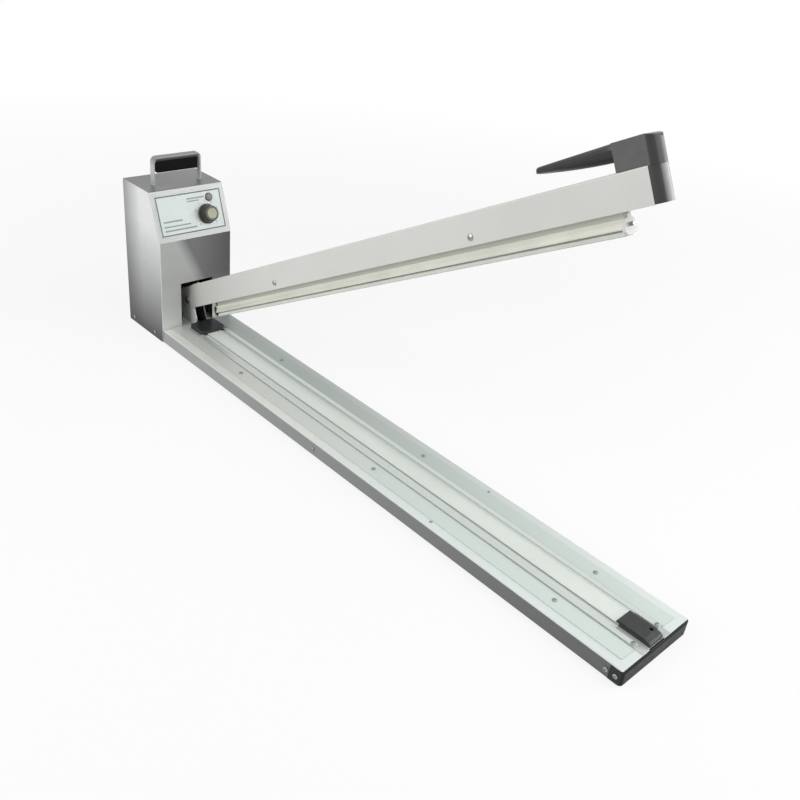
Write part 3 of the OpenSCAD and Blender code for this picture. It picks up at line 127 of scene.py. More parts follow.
class ArmSettings(bpy.types.PropertyGroup):
    """Colours of the pressure arm."""

    channel: colour_property("Channel", "Anodised arm channel", "#CBCBC6")
    bar: colour_property("Pressure bar", "Extruded pressure bar", "#CFD0C3")
    silicone: colour_property("Silicone", "Silicone strip", "#CDD0C8")
    end_plate: colour_property("End plates", "White end plates of the bar", "#D0D2CC")
    grain: FloatProperty(name="Grain width", description="Width of one line of the extrusion",
                         default=0.8 * MM, min=0.05 * MM, unit="LENGTH")


class PlasticSettings(bpy.types.PropertyGroup):
    """Colours of the moulded parts."""

    handle: colour_property("Handle", "Handle and arm cap", "#535352")
    cover: colour_property("Covers", "Terminal covers and end cap", "#292D2B")
    grip: colour_property("Carry grip", "Grip under the carry strap", "#090909")
    knob: colour_property("Knob", "Timer knob body", "#25241B")
    cap: colour_property("Knob cap", "Pale cap and pointer of the knob", "#91937A")
    spark: FloatProperty(name="Texture pitch", description="Pitch of the moulded texture",
                         default=0.8 * MM, min=0.1 * MM, unit="LENGTH")


class PanelSettings(bpy.types.PropertyGroup):
    """Sizes and colours of the print on the sloping panel."""

    paper: colour_property("Panel", "Printed film of the panel", "#CBD3CF")
    ink: colour_property("Ink", "Border and dial", "#66716C")
    tint: colour_property("Tint", "Plain ruled bars", "#8E9893")
    border: FloatProperty(name="Border", description="Width of the printed border",
                          default=2.2 * MM, min=0.0, unit="LENGTH")
    inset: FloatProperty(name="Border inset", description="Bare rim outside the border",
                         default=1.0 * MM, min=0.0, unit="LENGTH")
    steps: IntProperty(name="Steps", description="Numbered steps on the dial", default=8, min=2)
    tick: FloatProperty(name="Tick length", description="Length of a dial tick",
                        default=1.6 * MM, min=0.0, unit="LENGTH")
    digit: FloatProperty(name="Digit height", description="Height of a dial number",
                         default=3.2 * MM, min=0.0, unit="LENGTH")


class StageSettings(bpy.types.PropertyGroup):
    """Camera and light."""

    focal: FloatProperty(name="Focal length", description="Camera focal length in millimetres",
                         default=40.32, min=1.0)
    top: FloatProperty(name="Top light", description="Power of the lamp over the free end",
                       default=8.5, min=0.0, unit="POWER")
    left: FloatProperty(name="Left light", description="Power of the lamp at the camera's left",
                        default=21.0, min=0.0, unit="POWER")
    right: FloatProperty(name="Right light", description="Power of the lamp behind the handle",
                         default=15.0, min=0.0, unit="POWER")
    ambient: FloatProperty(name="Ambient", description="Strength of the surroundings",
                           default=0.3, min=0.0)


SETTINGS = {
    "sealer_metal": SheetMetalSettings,
    "sealer_arm": ArmSettings,
    "sealer_plastic": PlasticSettings,
    "sealer_panel": PanelSettings,
    "sealer_stage": StageSettings,
}


def add_node(tree, kind, inputs=None, out=0, **settings):
    """Adds a shader node, sets it up, fills or links its inputs and returns one of its outputs."""
    node = tree.nodes.new("ShaderNode" + kind)
    for name, value in settings.items():
        setattr(node, name, value)
    for key, value in (inputs or {}).items():
        if isinstance(value, bpy.types.NodeSocket):
            tree.links.new(value, node.inputs[key])
        else:
            node.inputs[key].default_value = value
    return node.outputs[out]


def shade(colour, factor):
    """The colour made darker or lighter."""
    return (*(min(1.0, c * factor) for c in colour[:3]), 1.0)


def finish(name, colour, roughness, blotch, shades=(0.93, 1.05), grain=1.0 * MM, relief=0.01 * MM,
           stretch=(1.0, 1.0, 1.0), **sockets):
    """A material whose tone and gloss drift over blotches, with a fine grain in its surface.

    blotch and grain are widths; stretch scales the pattern's axes, so a small value draws it out.
    """
    colour = tuple(colour)
    material = bpy.data.materials.new(name)
    material.use_nodes = True
    tree = material.node_tree
    shader = tree.nodes["Principled BSDF"]
    shader.inputs["Base Color"].default_value = colour
    shader.inputs["Roughness"].default_value = roughness
    for socket, value in sockets.items():
        shader.inputs[socket.replace("_", " ")].default_value = value
    place = add_node(tree, "TexCoord", out="Object")
    drawn = add_node(tree, "VectorMath", {0: place, 1: stretch}, operation="MULTIPLY")
    cloud = add_node(tree, "TexNoise", {"Vector": drawn, "Scale": 1 / blotch, "Detail": 4.0})
    drift = add_node(tree, "MapRange", {"Value": cloud, "From Min": 0.25, "From Max": 0.75},
                     interpolation_type="SMOOTHSTEP")
    darker, lighter = (shade(colour, factor) for factor in shades)
    tone = add_node(tree, "Mix", {0: drift, 6: darker, 7: lighter}, out=2, data_type="RGBA")
    dull = add_node(tree, "MapRange", {"Value": drift, "To Min": roughness - 0.04,
                                       "To Max": roughness + 0.06})
    fine = add_node(tree, "TexNoise", {"Vector": drawn, "Scale": 1 / grain, "Detail": 2.0})
    rough = add_node(tree, "Bump", {"Height": fine, "Distance": relief})
    tree.links.new(tone, shader.inputs["Base Color"])
    tree.links.new(dull, shader.inputs["Roughness"])
    tree.links.new(rough, shader.inputs["Normal"])
    return material


def paint_over(material, mask, colour):
    """Lays a second colour over the material where mask(tree) gives one."""
    tree = material.node_tree
    target = tree.nodes["Principled BSDF"].inputs["Base Color"]
    under = target.links[0].from_socket
    tree.links.new(add_node(tree, "Mix", {0: mask(tree), 6: under, 7: tuple(colour)},
                            out=2, data_type="RGBA"), target)
    return material


def ramp(direction, start, end, output="Object"):
    """A mask that goes from none to full as the place along a direction goes from start to end."""
    def mask(tree):
        place = add_node(tree, "TexCoord", out=output)
        along = add_node(tree, "VectorMath", {0: place, 1: direction}, out="Value",
                         operation="DOT_PRODUCT")
        return add_node(tree, "MapRange", {"Value": along, "From Min": start, "From Max": end})
    return mask


def facing(direction, start, end):
    """A mask by how far the surface faces that direction, which turns with its piece."""
    return ramp(direction, start, end, "Normal")


def along_arm(start, end):
    """A mask by the distance from the hinge along the arm."""
    base = HINGE.dot(ARM_ALONG)
    return ramp(ARM_ALONG, base + start, base + end)


def all_of(*masks):
    """A mask that is full only where all of these are."""
    def mask(tree):
        level = masks[0](tree)
        for other in masks[1:]:
            level = add_node(tree, "Math", {0: level, 1: other(tree)}, operation="MULTIPLY")
        return level
    return mask


def paint_shades(material, colour, layers):
    """Lays shades of the colour over the material in order; each layer is a mask and a factor."""
    for mask, factor in layers:
        paint_over(material, mask, shade(colour, factor))
    return material


def housing_lacquer(settings):
    """Silver stove lacquer on sheet steel: smooth satin gloss.

    The shades are the photo's, painted in as shade and as the reflection of a dark room: the side
    darkens to the back and the foot, the front and its right half are darker than the slope, and
    the slope and the roof are darker too.
    """
    material = finish("silver_lacquer", settings.housing, settings.gloss, 70 * MM, (0.96, 1.04),
                      settings.peel, 0.003 * MM, Metallic=0.2, Specular_IOR_Level=0.25,
                      Coat_Weight=0.15, Coat_Roughness=0.1)
    back, _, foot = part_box("housing_shell")[0]
    side, front = facing(Y, -0.5, -0.9), facing(X, 0.95, 0.99)
    # Painted shade and painted reflection, laid layer over layer
    return paint_shades(material, settings.housing, (
        (all_of(side, ramp(X, back + 50 * MM, back)), 0.4),
        (all_of(side, ramp(Z, foot + 195 * MM, foot)), 0.03),
        (front, 0.66),
        (all_of(front, ramp(Z, 110 * MM, 30 * MM)), 0.98),
        (all_of(front, ramp(Y + Z / 2, 48 * MM, 70 * MM)), 0.24),
        (all_of(front, ramp(Y, 0.0, 62 * MM), ramp(Z, 60 * MM, 110 * MM)), 0.12),
        (facing(PANEL_OUT, 0.97, 0.99), 0.64),
        (facing(Z, 0.7, 0.95), 0.24)))


def far_side():
    """A mask for the side of the base that the raised arm keeps in shade, full near the hinge."""
    return all_of(ramp(Y, 0.0, 30 * MM), ramp(X, 0.48, -0.15))


def base_lacquer(settings):
    """Satin lacquer on the base: pale on the deck, greyer on the folded sides, partly as a greyer
    lacquer and partly as painted shade.

    The sides darken to the free end as painted shade, the deck loses its green cast towards the
    hinge, and painted shade of the raised arm lies on the deck's far side.
    """
    material = finish("base_lacquer", settings.skirt, 0.36, 90 * MM, (0.95, 1.04), settings.peel,
                      0.008 * MM, Coat_Weight=0.3, Coat_Roughness=0.2)
    end = CAD_BOX[1][0]
    deck = facing(Z, 0.5, 0.85)
    # Painted shade: the folded sides darken towards the free end
    paint_over(material, ramp(X, end - 0.8, end), shade(settings.skirt, 0.3))
    paint_over(material, deck, settings.deck)
    paint_over(material, all_of(deck, ramp(X, end - 0.35, end - 0.75)), srgb("#D4D6CF"))
    # Painted shade of the raised arm on the deck's far side
    return paint_over(material, all_of(deck, far_side()), shade(settings.deck, 0.58))


def ridge_scale(width):
    """Scale of a wave texture with ridges that wide: the wave turns 20 radians in each unit."""
    return math.pi / (20 * width)


def glass_cloth():
    """Coated glass cloth: pale and waxy, its threads drawn 1.2 mm wide so that they show."""
    colour = srgb("#D3D9D2")
    material = finish("glass_cloth", colour, 0.4, 40 * MM, (0.94, 1.02), stretch=(0.3, 1.0, 1.0),
                      Sheen_Weight=0.1)
    tree = material.node_tree
    place = add_node(tree, "TexCoord", out="Object")
    thread = {"Vector": place, "Scale": ridge_scale(1.2 * MM), "Distortion": 0.4, "Detail": 1.0}
    warp, weft = (add_node(tree, "TexWave", thread, out="Fac", bands_direction=axis)
                  for axis in ("X", "Y"))
    weave = add_node(tree, "Math", {0: warp, 1: weft}, operation="MULTIPLY")
    raised = add_node(tree, "Bump", {"Height": weave, "Distance": 0.03 * MM, "Strength": 0.6})
    tree.links.new(raised, tree.nodes["Principled BSDF"].inputs["Normal"])
    # Painted shade of the raised arm on the far side
    paint_over(material, far_side(), shade(colour, 0.55))
    # Painted shade: the walls are darker than the top
    return paint_over(material, facing(Z, 0.9, 0.4), shade(colour, 0.5))


def laminated_core():
    """Varnished silicon steel: dark, with its sheets drawn 1 mm thick so that they show."""
    colour = srgb("#45474A")
    material = finish("laminated_core", colour, 0.45, 15 * MM, Metallic=0.6)

    def sheets(tree):
        stack = {"Vector": add_node(tree, "TexCoord", out="Object"), "Scale": ridge_scale(1.0 * MM)}
        return add_node(tree, "TexWave", stack, out="Fac", bands_direction="Y")

    return paint_over(material, sheets, shade(colour, 0.5))


def dress(material, *names):
    """Gives every slot of these CAD nodes the material."""
    for name in names:
        mesh = NODES[name].data
        if not mesh.materials:
            mesh.materials.append(material)
        for index in range(len(mesh.materials)):
            mesh.materials[index] = material


def soften(width, *names, segments=2):
    """Breaks the sharp edges of these CAD nodes with a small round, so that they catch light."""
    for name in names:
        modifier = NODES[name].modifiers.new("Broken edges", "BEVEL")
        modifier.width = width
        modifier.segments = segments
        modifier.limit_method = "ANGLE"
        modifier.angle_limit = math.radians(40)
        modifier.harden_normals = True
        modifier.use_clamp_overlap = True


def new_piece(name, shape, material, body):
    """A new object of that bmesh, which rides on the body."""
    mesh = bpy.data.meshes.new(name)
    shape.to_mesh(mesh)
    shape.free()
    mesh.materials.append(material)
    piece = bpy.data.objects.new(name, mesh)
    bpy.context.collection.objects.link(piece)
    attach(piece, body)
    return piece


def add_slab(shape, corners, thickness):
    """Adds a thin solid to the bmesh: the outline's corners, raised by the thickness vector."""
    low = [shape.verts.new(c) for c in corners]
    high = [shape.verts.new(Vector(c) + thickness) for c in corners]
    shape.faces.new(high)
    shape.faces.new(low[::-1])
    for i, j in zip(range(len(corners)), [*range(1, len(corners)), 0]):
        shape.faces.new((low[i], low[j], high[j], high[i]))


class SealerOperator(bpy.types.Operator):
    """Shared settings of the sealer's operators."""

    bl_options = {"REGISTER", "UNDO"}


class SEALER_OT_sheet_metal(SealerOperator):
    """Finish the painted housing and base and the bare rail parts"""

    bl_idname = "sealer.sheet_metal"
    bl_label = "Sheet metal"

    def execute(self, context):
        settings = context.scene.sealer_metal
        dress(housing_lacquer(settings), "housing_shell", "back_panel")
        dress(base_lacquer(settings), "base_channel", "bottom_tray")
        # Anodised aluminium: satin, faint green cast, drawn out along its length
        plate = finish("anodised_plate", settings.plate, 0.42, 60 * MM, (0.95, 1.03), 0.6 * MM,
                       0.008 * MM, (0.1, 1.0, 1.0), Metallic=0.2)
        paint_over(plate, ramp(X, 0.25, -0.15), srgb("#C6C8C2"))
        # Painted shade of the raised arm on the far side
        paint_over(plate, far_side(), shade(settings.plate, 0.62))
        dress(plate, "deck_plate_left", "deck_plate_right")
        # Mill-finish aluminium: brighter, with long drawing lines, 0.5 mm wide so that they show
        dress(finish("mill_aluminium", shade(settings.strip, 0.82), 0.4, 30 * MM, (0.94, 1.03),
                     0.5 * MM, 0.01 * MM, (0.05, 1.0, 1.0), Metallic=0.4), "seal_rail")
        dress(finish("bright_strip", settings.strip, 0.32, 40 * MM, (0.95, 1.03), 0.5 * MM,
                     0.008 * MM, (0.05, 1.0, 1.0), Metallic=0.4), "clamp_strips")
        soften(0.25 * MM, "deck_plate_left", "deck_plate_right", "clamp_strips")
        soften(0.7 * MM, "housing_shell", segments=3)
        return {"FINISHED"}


class SEALER_OT_arm(SealerOperator):
    """Finish the arm channel, the pressure bar, its end plates and the silicone strip"""

    bl_idname = "sealer.arm"
    bl_label = "Pressure arm"

    def execute(self, context):
        settings = context.scene.sealer_arm
        # Anodised aluminium: even warm grey, its fine grain drawn wider so that it shows
        channel = finish("anodised_channel", settings.channel, 0.45, 140 * MM, (0.97, 1.02),
                         settings.grain, 0.004 * MM, Metallic=0.1)
        # Painted shade: the channel darkens towards the hinge
        paint_over(channel, along_arm(0.25, 0.0), shade(settings.channel, 0.78))
        dress(channel, "arm_channel")
        # Extruded aluminium: satin metal with a little more sparkle than the channel
        dress(finish("extruded_bar", settings.bar, 0.38, 60 * MM, (0.94, 1.03), settings.grain,
                     0.006 * MM, Metallic=0.35), "pressure_bar", "arm_spacers")
        # Moulded nylon: soft gloss and white; by the hinge the plate is painted black as shade
        # under the arm
        nylon = finish("moulded_nylon", settings.end_plate, 0.4, 8 * MM, (0.96, 1.02), IOR=1.53)
        paint_over(nylon, ramp(X, -0.30, -0.31), HINGE_PAINTED_SHADE)
        dress(nylon, "bar_end_plates")
        # Cured silicone: milky, soft gloss, a little light inside
        dress(finish("silicone_rubber", settings.silicone, 0.5, 35 * MM, (0.95, 1.03), 1.2 * MM,
                     0.02 * MM, IOR=1.41, Subsurface_Weight=0.15, Subsurface_Scale=1.5 * MM),
              "silicone_strip")
        soften(0.3 * MM, "pressure_bar", "bar_end_plates")
        return {"FINISHED"}


class SEALER_OT_plastics(SealerOperator):
    """Finish the moulded handle, caps, covers, knob and carry handle"""

    bl_idname = "sealer.plastics"
    bl_label = "Moulded parts"

    def execute(self, context):
        settings = context.scene.sealer_plastic
        # Moulded ABS: dark, with rubbed places that shine a little. Its spark texture is drawn
        # wider than the real one so that it shows
        spark = {"grain": settings.spark, "relief": 0.02 * MM, "IOR": 1.53}
        rubbed = {"Coat_Weight": 0.12, "Coat_Roughness": 0.2, "Specular_IOR_Level": 0.35, **spark}
        handle, arm_cap = (finish(name, colour, 0.34, 14 * MM, (0.93, 1.08), **rubbed)
                           for name, colour in (("handle_abs", settings.handle),
                                                ("arm_cap_abs", shade(settings.handle, 0.3))))
        # Painted shade round the nose, on the finger's flank and underneath
        dress(paint_shades(handle, settings.handle, (
            (facing(Y, -0.995, -0.96), 0.26),
            (all_of(along_arm(0.874, 0.868), facing(ARM_UP, 0.7, 0.3)), 0.16),
            (facing(ARM_UP, 0.0, -0.3), 0.16))), "arm_handle")
        # The cap's end face is painted pale as a highlight
        dress(paint_over(arm_cap, facing(ARM_ALONG, 0.8, 0.97), srgb("#8A8A89")), "arm_end_cap")
        dress(finish("grip_abs", settings.grip, 0.55, 12 * MM, (0.85, 1.1), Specular_IOR_Level=0.08,
                     **spark), "carry_grip")
        dress(finish("cover_abs", settings.cover, 0.32, 10 * MM, (0.88, 1.12),
                     Specular_IOR_Level=0.35, **spark),
              "front_cover", "rear_cover", "cable_gland", "fuse_holder", "fuse_cap", "micro_switch")
        # The base's end cap: painted light makes its flank paler, and painted shade makes it darker
        # low on its face
        flank = shade(settings.cover, 0.6)
        base_cap = finish("end_cap_abs", flank, 0.38, 10 * MM, (0.88, 1.12),
                          Specular_IOR_Level=0.1, **spark)
        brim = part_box("end_cap")[1][2]
        dress(paint_shades(base_cap, flank, (
            (facing(Y, -0.7, -0.95), 2.4),
            (all_of(facing(X, 0.8, 0.95), ramp(Z, brim - 7 * MM, brim - 14 * MM)), 0.35))),
              "end_cap")
        dress(finish("lamp_abs", srgb("#3E4041"), 0.3, 8 * MM, **spark), "lamp_bezel")
        dress(finish("knob_abs", settings.knob, 0.3, 9 * MM, (0.88, 1.1), **spark), "timer_knob")
        # Anodised aluminium disc: champagne coloured, satin, with turned rings too fine to show
        dress(finish("champagne_cap", settings.cap, 0.36, 10 * MM, grain=0.5 * MM,
                     relief=0.004 * MM, Metallic=0.15), "knob_cap")
        # Cast aluminium: grey satin lacquer, with painted shade darkening its top bar
        strap = finish("cast_strap", srgb("#B0B4B1"), 0.34, 20 * MM, (0.94, 1.05),
                       relief=0.015 * MM, Metallic=0.2)
        (_, near, _), (_, far, high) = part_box("carry_strap")
        paint_over(strap, ramp(Z, high - 14 * MM, high - 5 * MM), srgb("#858786"))
        # Painted shade on the lower half of its top bar between the legs
        top_bar_shade = all_of(
            ramp(Z, high - 3.5 * MM, high - 5 * MM), ramp(Z, high - 9 * MM, high - 7.5 * MM),
            ramp(Y, near + 4 * MM, near + 6 * MM), ramp(Y, far - 4 * MM, far - 6 * MM))
        dress(paint_over(strap, top_bar_shade, srgb("#2C2D2D")), "carry_strap")
        # Vulcanised rubber: black and dull
        dress(finish("foot_rubber", srgb("#26282A"), 0.75, 5 * MM, relief=0.05 * MM), "rubber_feet")
        # Acrylic: smoky neon lamp lens
        dress(finish("smoky_acrylic", srgb("#8E8F8F"), 0.14, 5 * MM, relief=0.002 * MM, IOR=1.49,
                     Transmission_Weight=0.25), "lamp_lens")
        soften(0.35 * MM, "front_cover", "rear_cover", "carry_grip", "arm_end_cap")
        soften(0.6 * MM, "carry_strap")
        return {"FINISHED"}


class SEALER_OT_inner_parts(SealerOperator):
    """Finish the hinge, the screws, the transformer, the switch and the terminals"""

    bl_idname = "sealer.inner_parts"
    bl_label = "Hinge and inner parts"

    def execute(self, context):
        # Zinc plate on steel: bright, cloudy, slightly dulled
        dress(finish("zinc_plate", srgb("#B0B2AF"), 0.38, 12 * MM, (0.8, 1.08), Metallic=1.0),
              "hinge_pin", "pin_clips", "stop_rod", "spring_anchor", "tail_plate",
              "transformer_bracket", "switch_bracket", "potentiometer", "knob_shaft")
        # Grey lacquer on the bracket's sheet steel
        bracket = finish("bracket_lacquer", srgb("#C6CAC7"), 0.4, 25 * MM, (0.94, 1.04),
                         Coat_Weight=0.2)
        # Painted shade: its far half is painted black as the dark under the arm
        paint_over(bracket, ramp(Y, -4 * MM, 4 * MM), HINGE_PAINTED_SHADE)
        dress(bracket, "hinge_bracket")
        # Spring steel: darker wire with drawing lines
        dress(finish("spring_wire", srgb("#8E8F8E"), 0.32, 6 * MM, (0.8, 1.08), Metallic=1.0),
              "return_spring", "tension_springs")
        # Nickel plate: small screw heads, a little warmer than zinc
        nickel = finish("nickel_screw", srgb("#9EA19E"), 0.34, 3 * MM, (0.8, 1.08), Metallic=1.0)
        dress(nickel, "side_screws", "back_screws", "inner_screws", "arm_screws", "bar_end_screws")
        # Nickel plate gone dull: rivets and screws flush with the deck
        dress(finish("dull_screw", srgb("#8D938F"), 0.45, 3 * MM, (0.85, 1.08), Metallic=0.3),
              "deck_screws")
        # Turned brass: yellow, satin
        dress(finish("turned_brass", srgb("#C9A765"), 0.3, 6 * MM, (0.85, 1.08), Metallic=1.0),
              "rear_terminal", "ribbon_clamp")
        # Acetal bushes: grey-white, waxy
        dress(finish("bush_acetal", srgb("#A9ABA7"), 0.4, 4 * MM, (0.9, 1.05)), "arm_bushes")
        # Nickel-chrome ribbon: grey, heat-toned
        dress(finish("heating_alloy", srgb("#A8A49C"), 0.34, 9 * MM, (0.8, 1.08), Metallic=1.0),
              "heating_ribbon")
        # Glass tape: cream, matt
        dress(finish("insulating_tape", srgb("#D9CBA5"), 0.6, 8 * MM, relief=0.02 * MM),
              "rail_tape")
        # Paper laminate: brown, satin
        dress(finish("brown_laminate", srgb("#5A3C28"), 0.45, 8 * MM, (0.86, 1.08)),
              "front_terminal_guide")
        dress(laminated_core(), "transformer_core")
        # Varnished tape over the winding: amber, ridged, and made darker as painted shade inside
        # the housing
        dress(finish("taped_winding", srgb("#5E452C"), 0.5, 4 * MM, (0.86, 1.08), 0.6 * MM,
                     0.1 * MM), "transformer_coil")
        # Glass epoxy with solder resist: green, glossy
        dress(finish("circuit_board", srgb("#1F5A36"), 0.35, 6 * MM, Coat_Weight=0.4),
              "timer_board")
        # Moulded epoxy: near black, satin
        dress(finish("moulded_parts", srgb("#2B2C30"), 0.4, 5 * MM, relief=0.02 * MM),
              "board_parts")
        # Acetal: red, waxy
        dress(finish("red_acetal", srgb("#A5261C"), 0.35, 3 * MM), "switch_plunger")
        return {"FINISHED"}


class SEALER_OT_cloth(SealerOperator):
    """Lay the non-stick cloth over the rail as a sheet with soft folds and faint ripples"""

    bl_idname = "sealer.cloth"
    bl_label = "Non-stick cloth"

    def execute(self, context):
        corners = [vertex.co for vertex in NODES["nonstick_cloth"].data.vertices]
        side, wall, half = sorted({round(abs(c.y), 6) for c in corners})
        floor, foot, under, top = sorted({round(c.z, 6) for c in corners})
        start, end = (corner[0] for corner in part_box("nonstick_cloth"))
        thickness = wall - side
        outer = self.section(half, wall, foot, top, 2 * thickness)
        inner = self.section(half, side, floor, under, thickness)
        rows = round((end - start) / (4 * MM))
        shape = bmesh.new()
        rings = []
        for i in range(rows + 1):
            x = start + (end - start) * i / rows
            rings.append([shape.verts.new(self.rippled(x, y, z, foot, top)) for y, z in outer]
                         + [shape.verts.new((x, y, z)) for y, z in reversed(inner)])
        count = len(rings[0])
        for near, far in zip(rings, rings[1:]):
            for i in range(count):
                j = (i + 1) % count
                shape.faces.new((near[i], near[j], far[j], far[i]))
        for ring in (rings[0], rings[-1]):
            for i in range(count // 2 - 1):
                shape.faces.new((ring[i], ring[i + 1], ring[count - 2 - i], ring[count - 1 - i]))
        bmesh.ops.recalc_face_normals(shape, faces=shape.faces)
        for face in shape.faces:
            face.smooth = True
        for edge in shape.edges:
            edge.smooth = edge.calc_face_angle(0.0) < math.radians(50)
        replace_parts(new_piece("seal_cloth", shape, glass_cloth(), "base"), "nonstick_cloth")
        return {"FINISHED"}

    def section(self, half, wall, foot, top, fold):
        """The sheet's line across the rail: flange, wall, round fold, flat top, and back down."""
        knee = top - fold
        right = [(half, foot), *((wall, foot + (knee - foot) * k / 3) for k in range(3))]
        right += [(wall - fold + fold * math.cos(a), knee + fold * math.sin(a))
                  for a in (math.pi / 8 * k for k in range(5))]
        right += [((wall - fold) * (1 - k / 6), top) for k in range(1, 6)]
        return [(-y, z) for y, z in right] + [(0.0, top)] + right[::-1]

    def rippled(self, x, y, z, foot, top):
        """A point of the outer face: the walls bulge a little, and the top lifts by a hair."""
        high = (z - foot) / (top - foot)
        if high < 1.0:
            bulge = 0.2 * MM * max(0.0, noise.noise((x / (14 * MM), y / (9 * MM), 3.0)) + 0.2)
            return (x, y + math.copysign(bulge * math.sin(math.pi * high), y), z)
        return (x, y, z + 0.05 * MM * max(0.0, noise.noise((x / (20 * MM), y / (8 * MM), 7.0))))


class SEALER_OT_panel_print(SealerOperator):
    """Finish the sloping panel and print its border, rules and dial"""

    bl_idname = "sealer.panel_print"
    bl_label = "Panel print"

    def execute(self, context):
        settings = context.scene.sealer_panel
        # Printed polyester film: pale, smooth, soft gloss
        film = finish("printed_film", settings.paper, 0.3, 50 * MM, (0.97, 1.02), 0.8 * MM,
                      0.002 * MM, Coat_Weight=0.3, Coat_Roughness=0.2)
        dress(film, "label_plate")
        # Screen ink: grey-green, matt
        inks = (("screen_ink", settings.ink), ("pale_screen_ink", settings.tint))
        ink, tint = (finish(name, colour, 0.5, 12 * MM, (0.92, 1.06), 0.5 * MM, 0.003 * MM)
                     for name, colour in inks)
        points = [vertex.co for vertex in NODES["label_plate"].data.vertices]
        top = max(p.dot(PANEL_OUT) for p in points)
        across = [f(p.dot(PANEL_RIGHT) for p in points) for f in (min, max)]
        upward = [f(p.dot(PANEL_UP) for p in points) for f in (min, max)]
        knob = (KNOB_AXIS.dot(PANEL_RIGHT), KNOB_AXIS.dot(PANEL_UP))

        def on_panel(y, u, lift=0.02 * MM):
            return PANEL_RIGHT * y + PANEL_UP * u + PANEL_OUT * (top + lift)

        self.border(settings, ink, on_panel, across, upward)
        self.rules(tint, on_panel, across, upward)
        self.dial(settings, ink, on_panel, knob)
        return {"FINISHED"}

    def border(self, settings, ink, on_panel, across, upward):
        """A frame of four mitred strips."""
        shape = bmesh.new()
        outer, inner = ([(across[0] + d, upward[0] + d), (across[1] - d, upward[0] + d),
                         (across[1] - d, upward[1] - d), (across[0] + d, upward[1] - d)]
                        for d in (settings.inset, settings.inset + settings.border))
        for i in range(4):
            j = (i + 1) % 4
            add_slab(shape, [on_panel(*p) for p in (outer[i], outer[j], inner[j], inner[i])],
                     PANEL_OUT * PRINT)
        new_piece("panel_border", shape, ink, "base")

    def rules(self, ink, on_panel, across, upward):
        """Plain ruled lines where such a panel has its settings, at the lower left and the top."""
        shape = bmesh.new()
        # How far right and up each line starts, its length and its width, in millimetres
        rows = ((8, 8, 58, 2.6), (8, 14.5, 48, 2.2), (8, 22, 34, 2.6),
                (56, 53, 32, 2.4), (56, 49, 22, 2.0))
        for row in rows:
            right, up, length, width = (value * MM for value in row)
            y, u = across[0] + right, upward[0] + up
            corners = ((y, u), (y + length, u), (y + length, u + width), (y, u + width))
            add_slab(shape, [on_panel(*p) for p in corners], PANEL_OUT * PRINT)
        new_piece("panel_rules", shape, ink, "base")

    def dial(self, settings, ink, on_panel, knob):
        """Ticks round the knob from its stop to its other stop, with a number at each step."""
        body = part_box("timer_knob")
        radius = (body[1][1] - body[0][1]) / 2 + 1.2 * MM
        first, last = JOINTS["timer_knob_turn"]["range_deg"]
        shape = bmesh.new()
        for step in range(2 * settings.steps + 1):
            turn = math.radians(first + (last - first) * step / (2 * settings.steps))
            out = Vector((math.sin(turn), math.cos(turn)))
            side = Vector((out.y, -out.x)) * 0.25 * MM
            numbered = step % 2 == 0
            length = settings.tick * (1.0 if numbered else 0.6)
            near, far = (Vector(knob) + out * r for r in (radius, radius + length))
            corners = (near - side, near + side, far + side, far - side)
            add_slab(shape, [on_panel(*p) for p in corners], PANEL_OUT * PRINT)
            if numbered:
                place = Vector(knob) + out * (radius + settings.tick + 0.75 * settings.digit)
                self.digit(shape, str(step // 2), settings.digit, on_panel, place)
        new_piece("panel_dial", shape, ink, "base")

    def digit(self, shape, text, height, on_panel, place):
        """Adds one flat number to the bmesh, centred on its place."""
        curve = bpy.data.curves.new("digit", "FONT")
        curve.body = text
        curve.size = height * 1.4
        curve.align_x = curve.align_y = "CENTER"
        curve.resolution_u = 2
        letter = bpy.data.objects.new("digit", curve)
        mesh = letter.to_mesh()
        spots = [shape.verts.new(on_panel(place.x + v.co.x, place.y + v.co.y, 0.08 * MM))
                 for v in mesh.vertices]
        for face in mesh.polygons:
            shape.faces.new([spots[i] for i in face.vertices])
        letter.to_mesh_clear()
        bpy.data.objects.remove(letter)
        bpy.data.curves.remove(curve)


class SEALER_OT_knob_pointer(SealerOperator):
    """Add the pale pointer line from the knob's cap down its side"""

    bl_idname = "sealer.knob_pointer"
    bl_label = "Knob pointer"

    def execute(self, context):
        settings = context.scene.sealer_plastic
        # Filled paint line: cream, matt
        paint = finish("pointer_paint", settings.cap, 0.5, 4 * MM, (0.94, 1.04))
        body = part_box("timer_knob")
        radius = (body[1][1] - body[0][1]) / 2
        points = [vertex.co for vertex in NODES["timer_knob"].data.vertices]
        face = max(p.dot(PANEL_OUT) for p in points) - KNOB_AXIS.dot(PANEL_OUT)
        # In millimetres from the skirt's rim and from the face: over the face's edge, down the
        # tapered side to the skirt and back inside the knob
        outline = ((-5.3, 0.1), (-4.5, 0.1), (-3.45, -0.95),
                   (-1.05, -13.0), (-2.65, -13.0), (-5.3, -1.0))
        half = PANEL_RIGHT * 0.6 * MM
        corners = [KNOB_AXIS + PANEL_UP * (radius + out * MM) + PANEL_OUT * (face + up * MM) - half
                   for out, up in outline]
        shape = bmesh.new()
        add_slab(shape, corners, 2 * half)
        bmesh.ops.recalc_face_normals(shape, faces=shape.faces)
        new_piece("knob_pointer", shape, paint, "timer_knob")
        return {"FINISHED"}


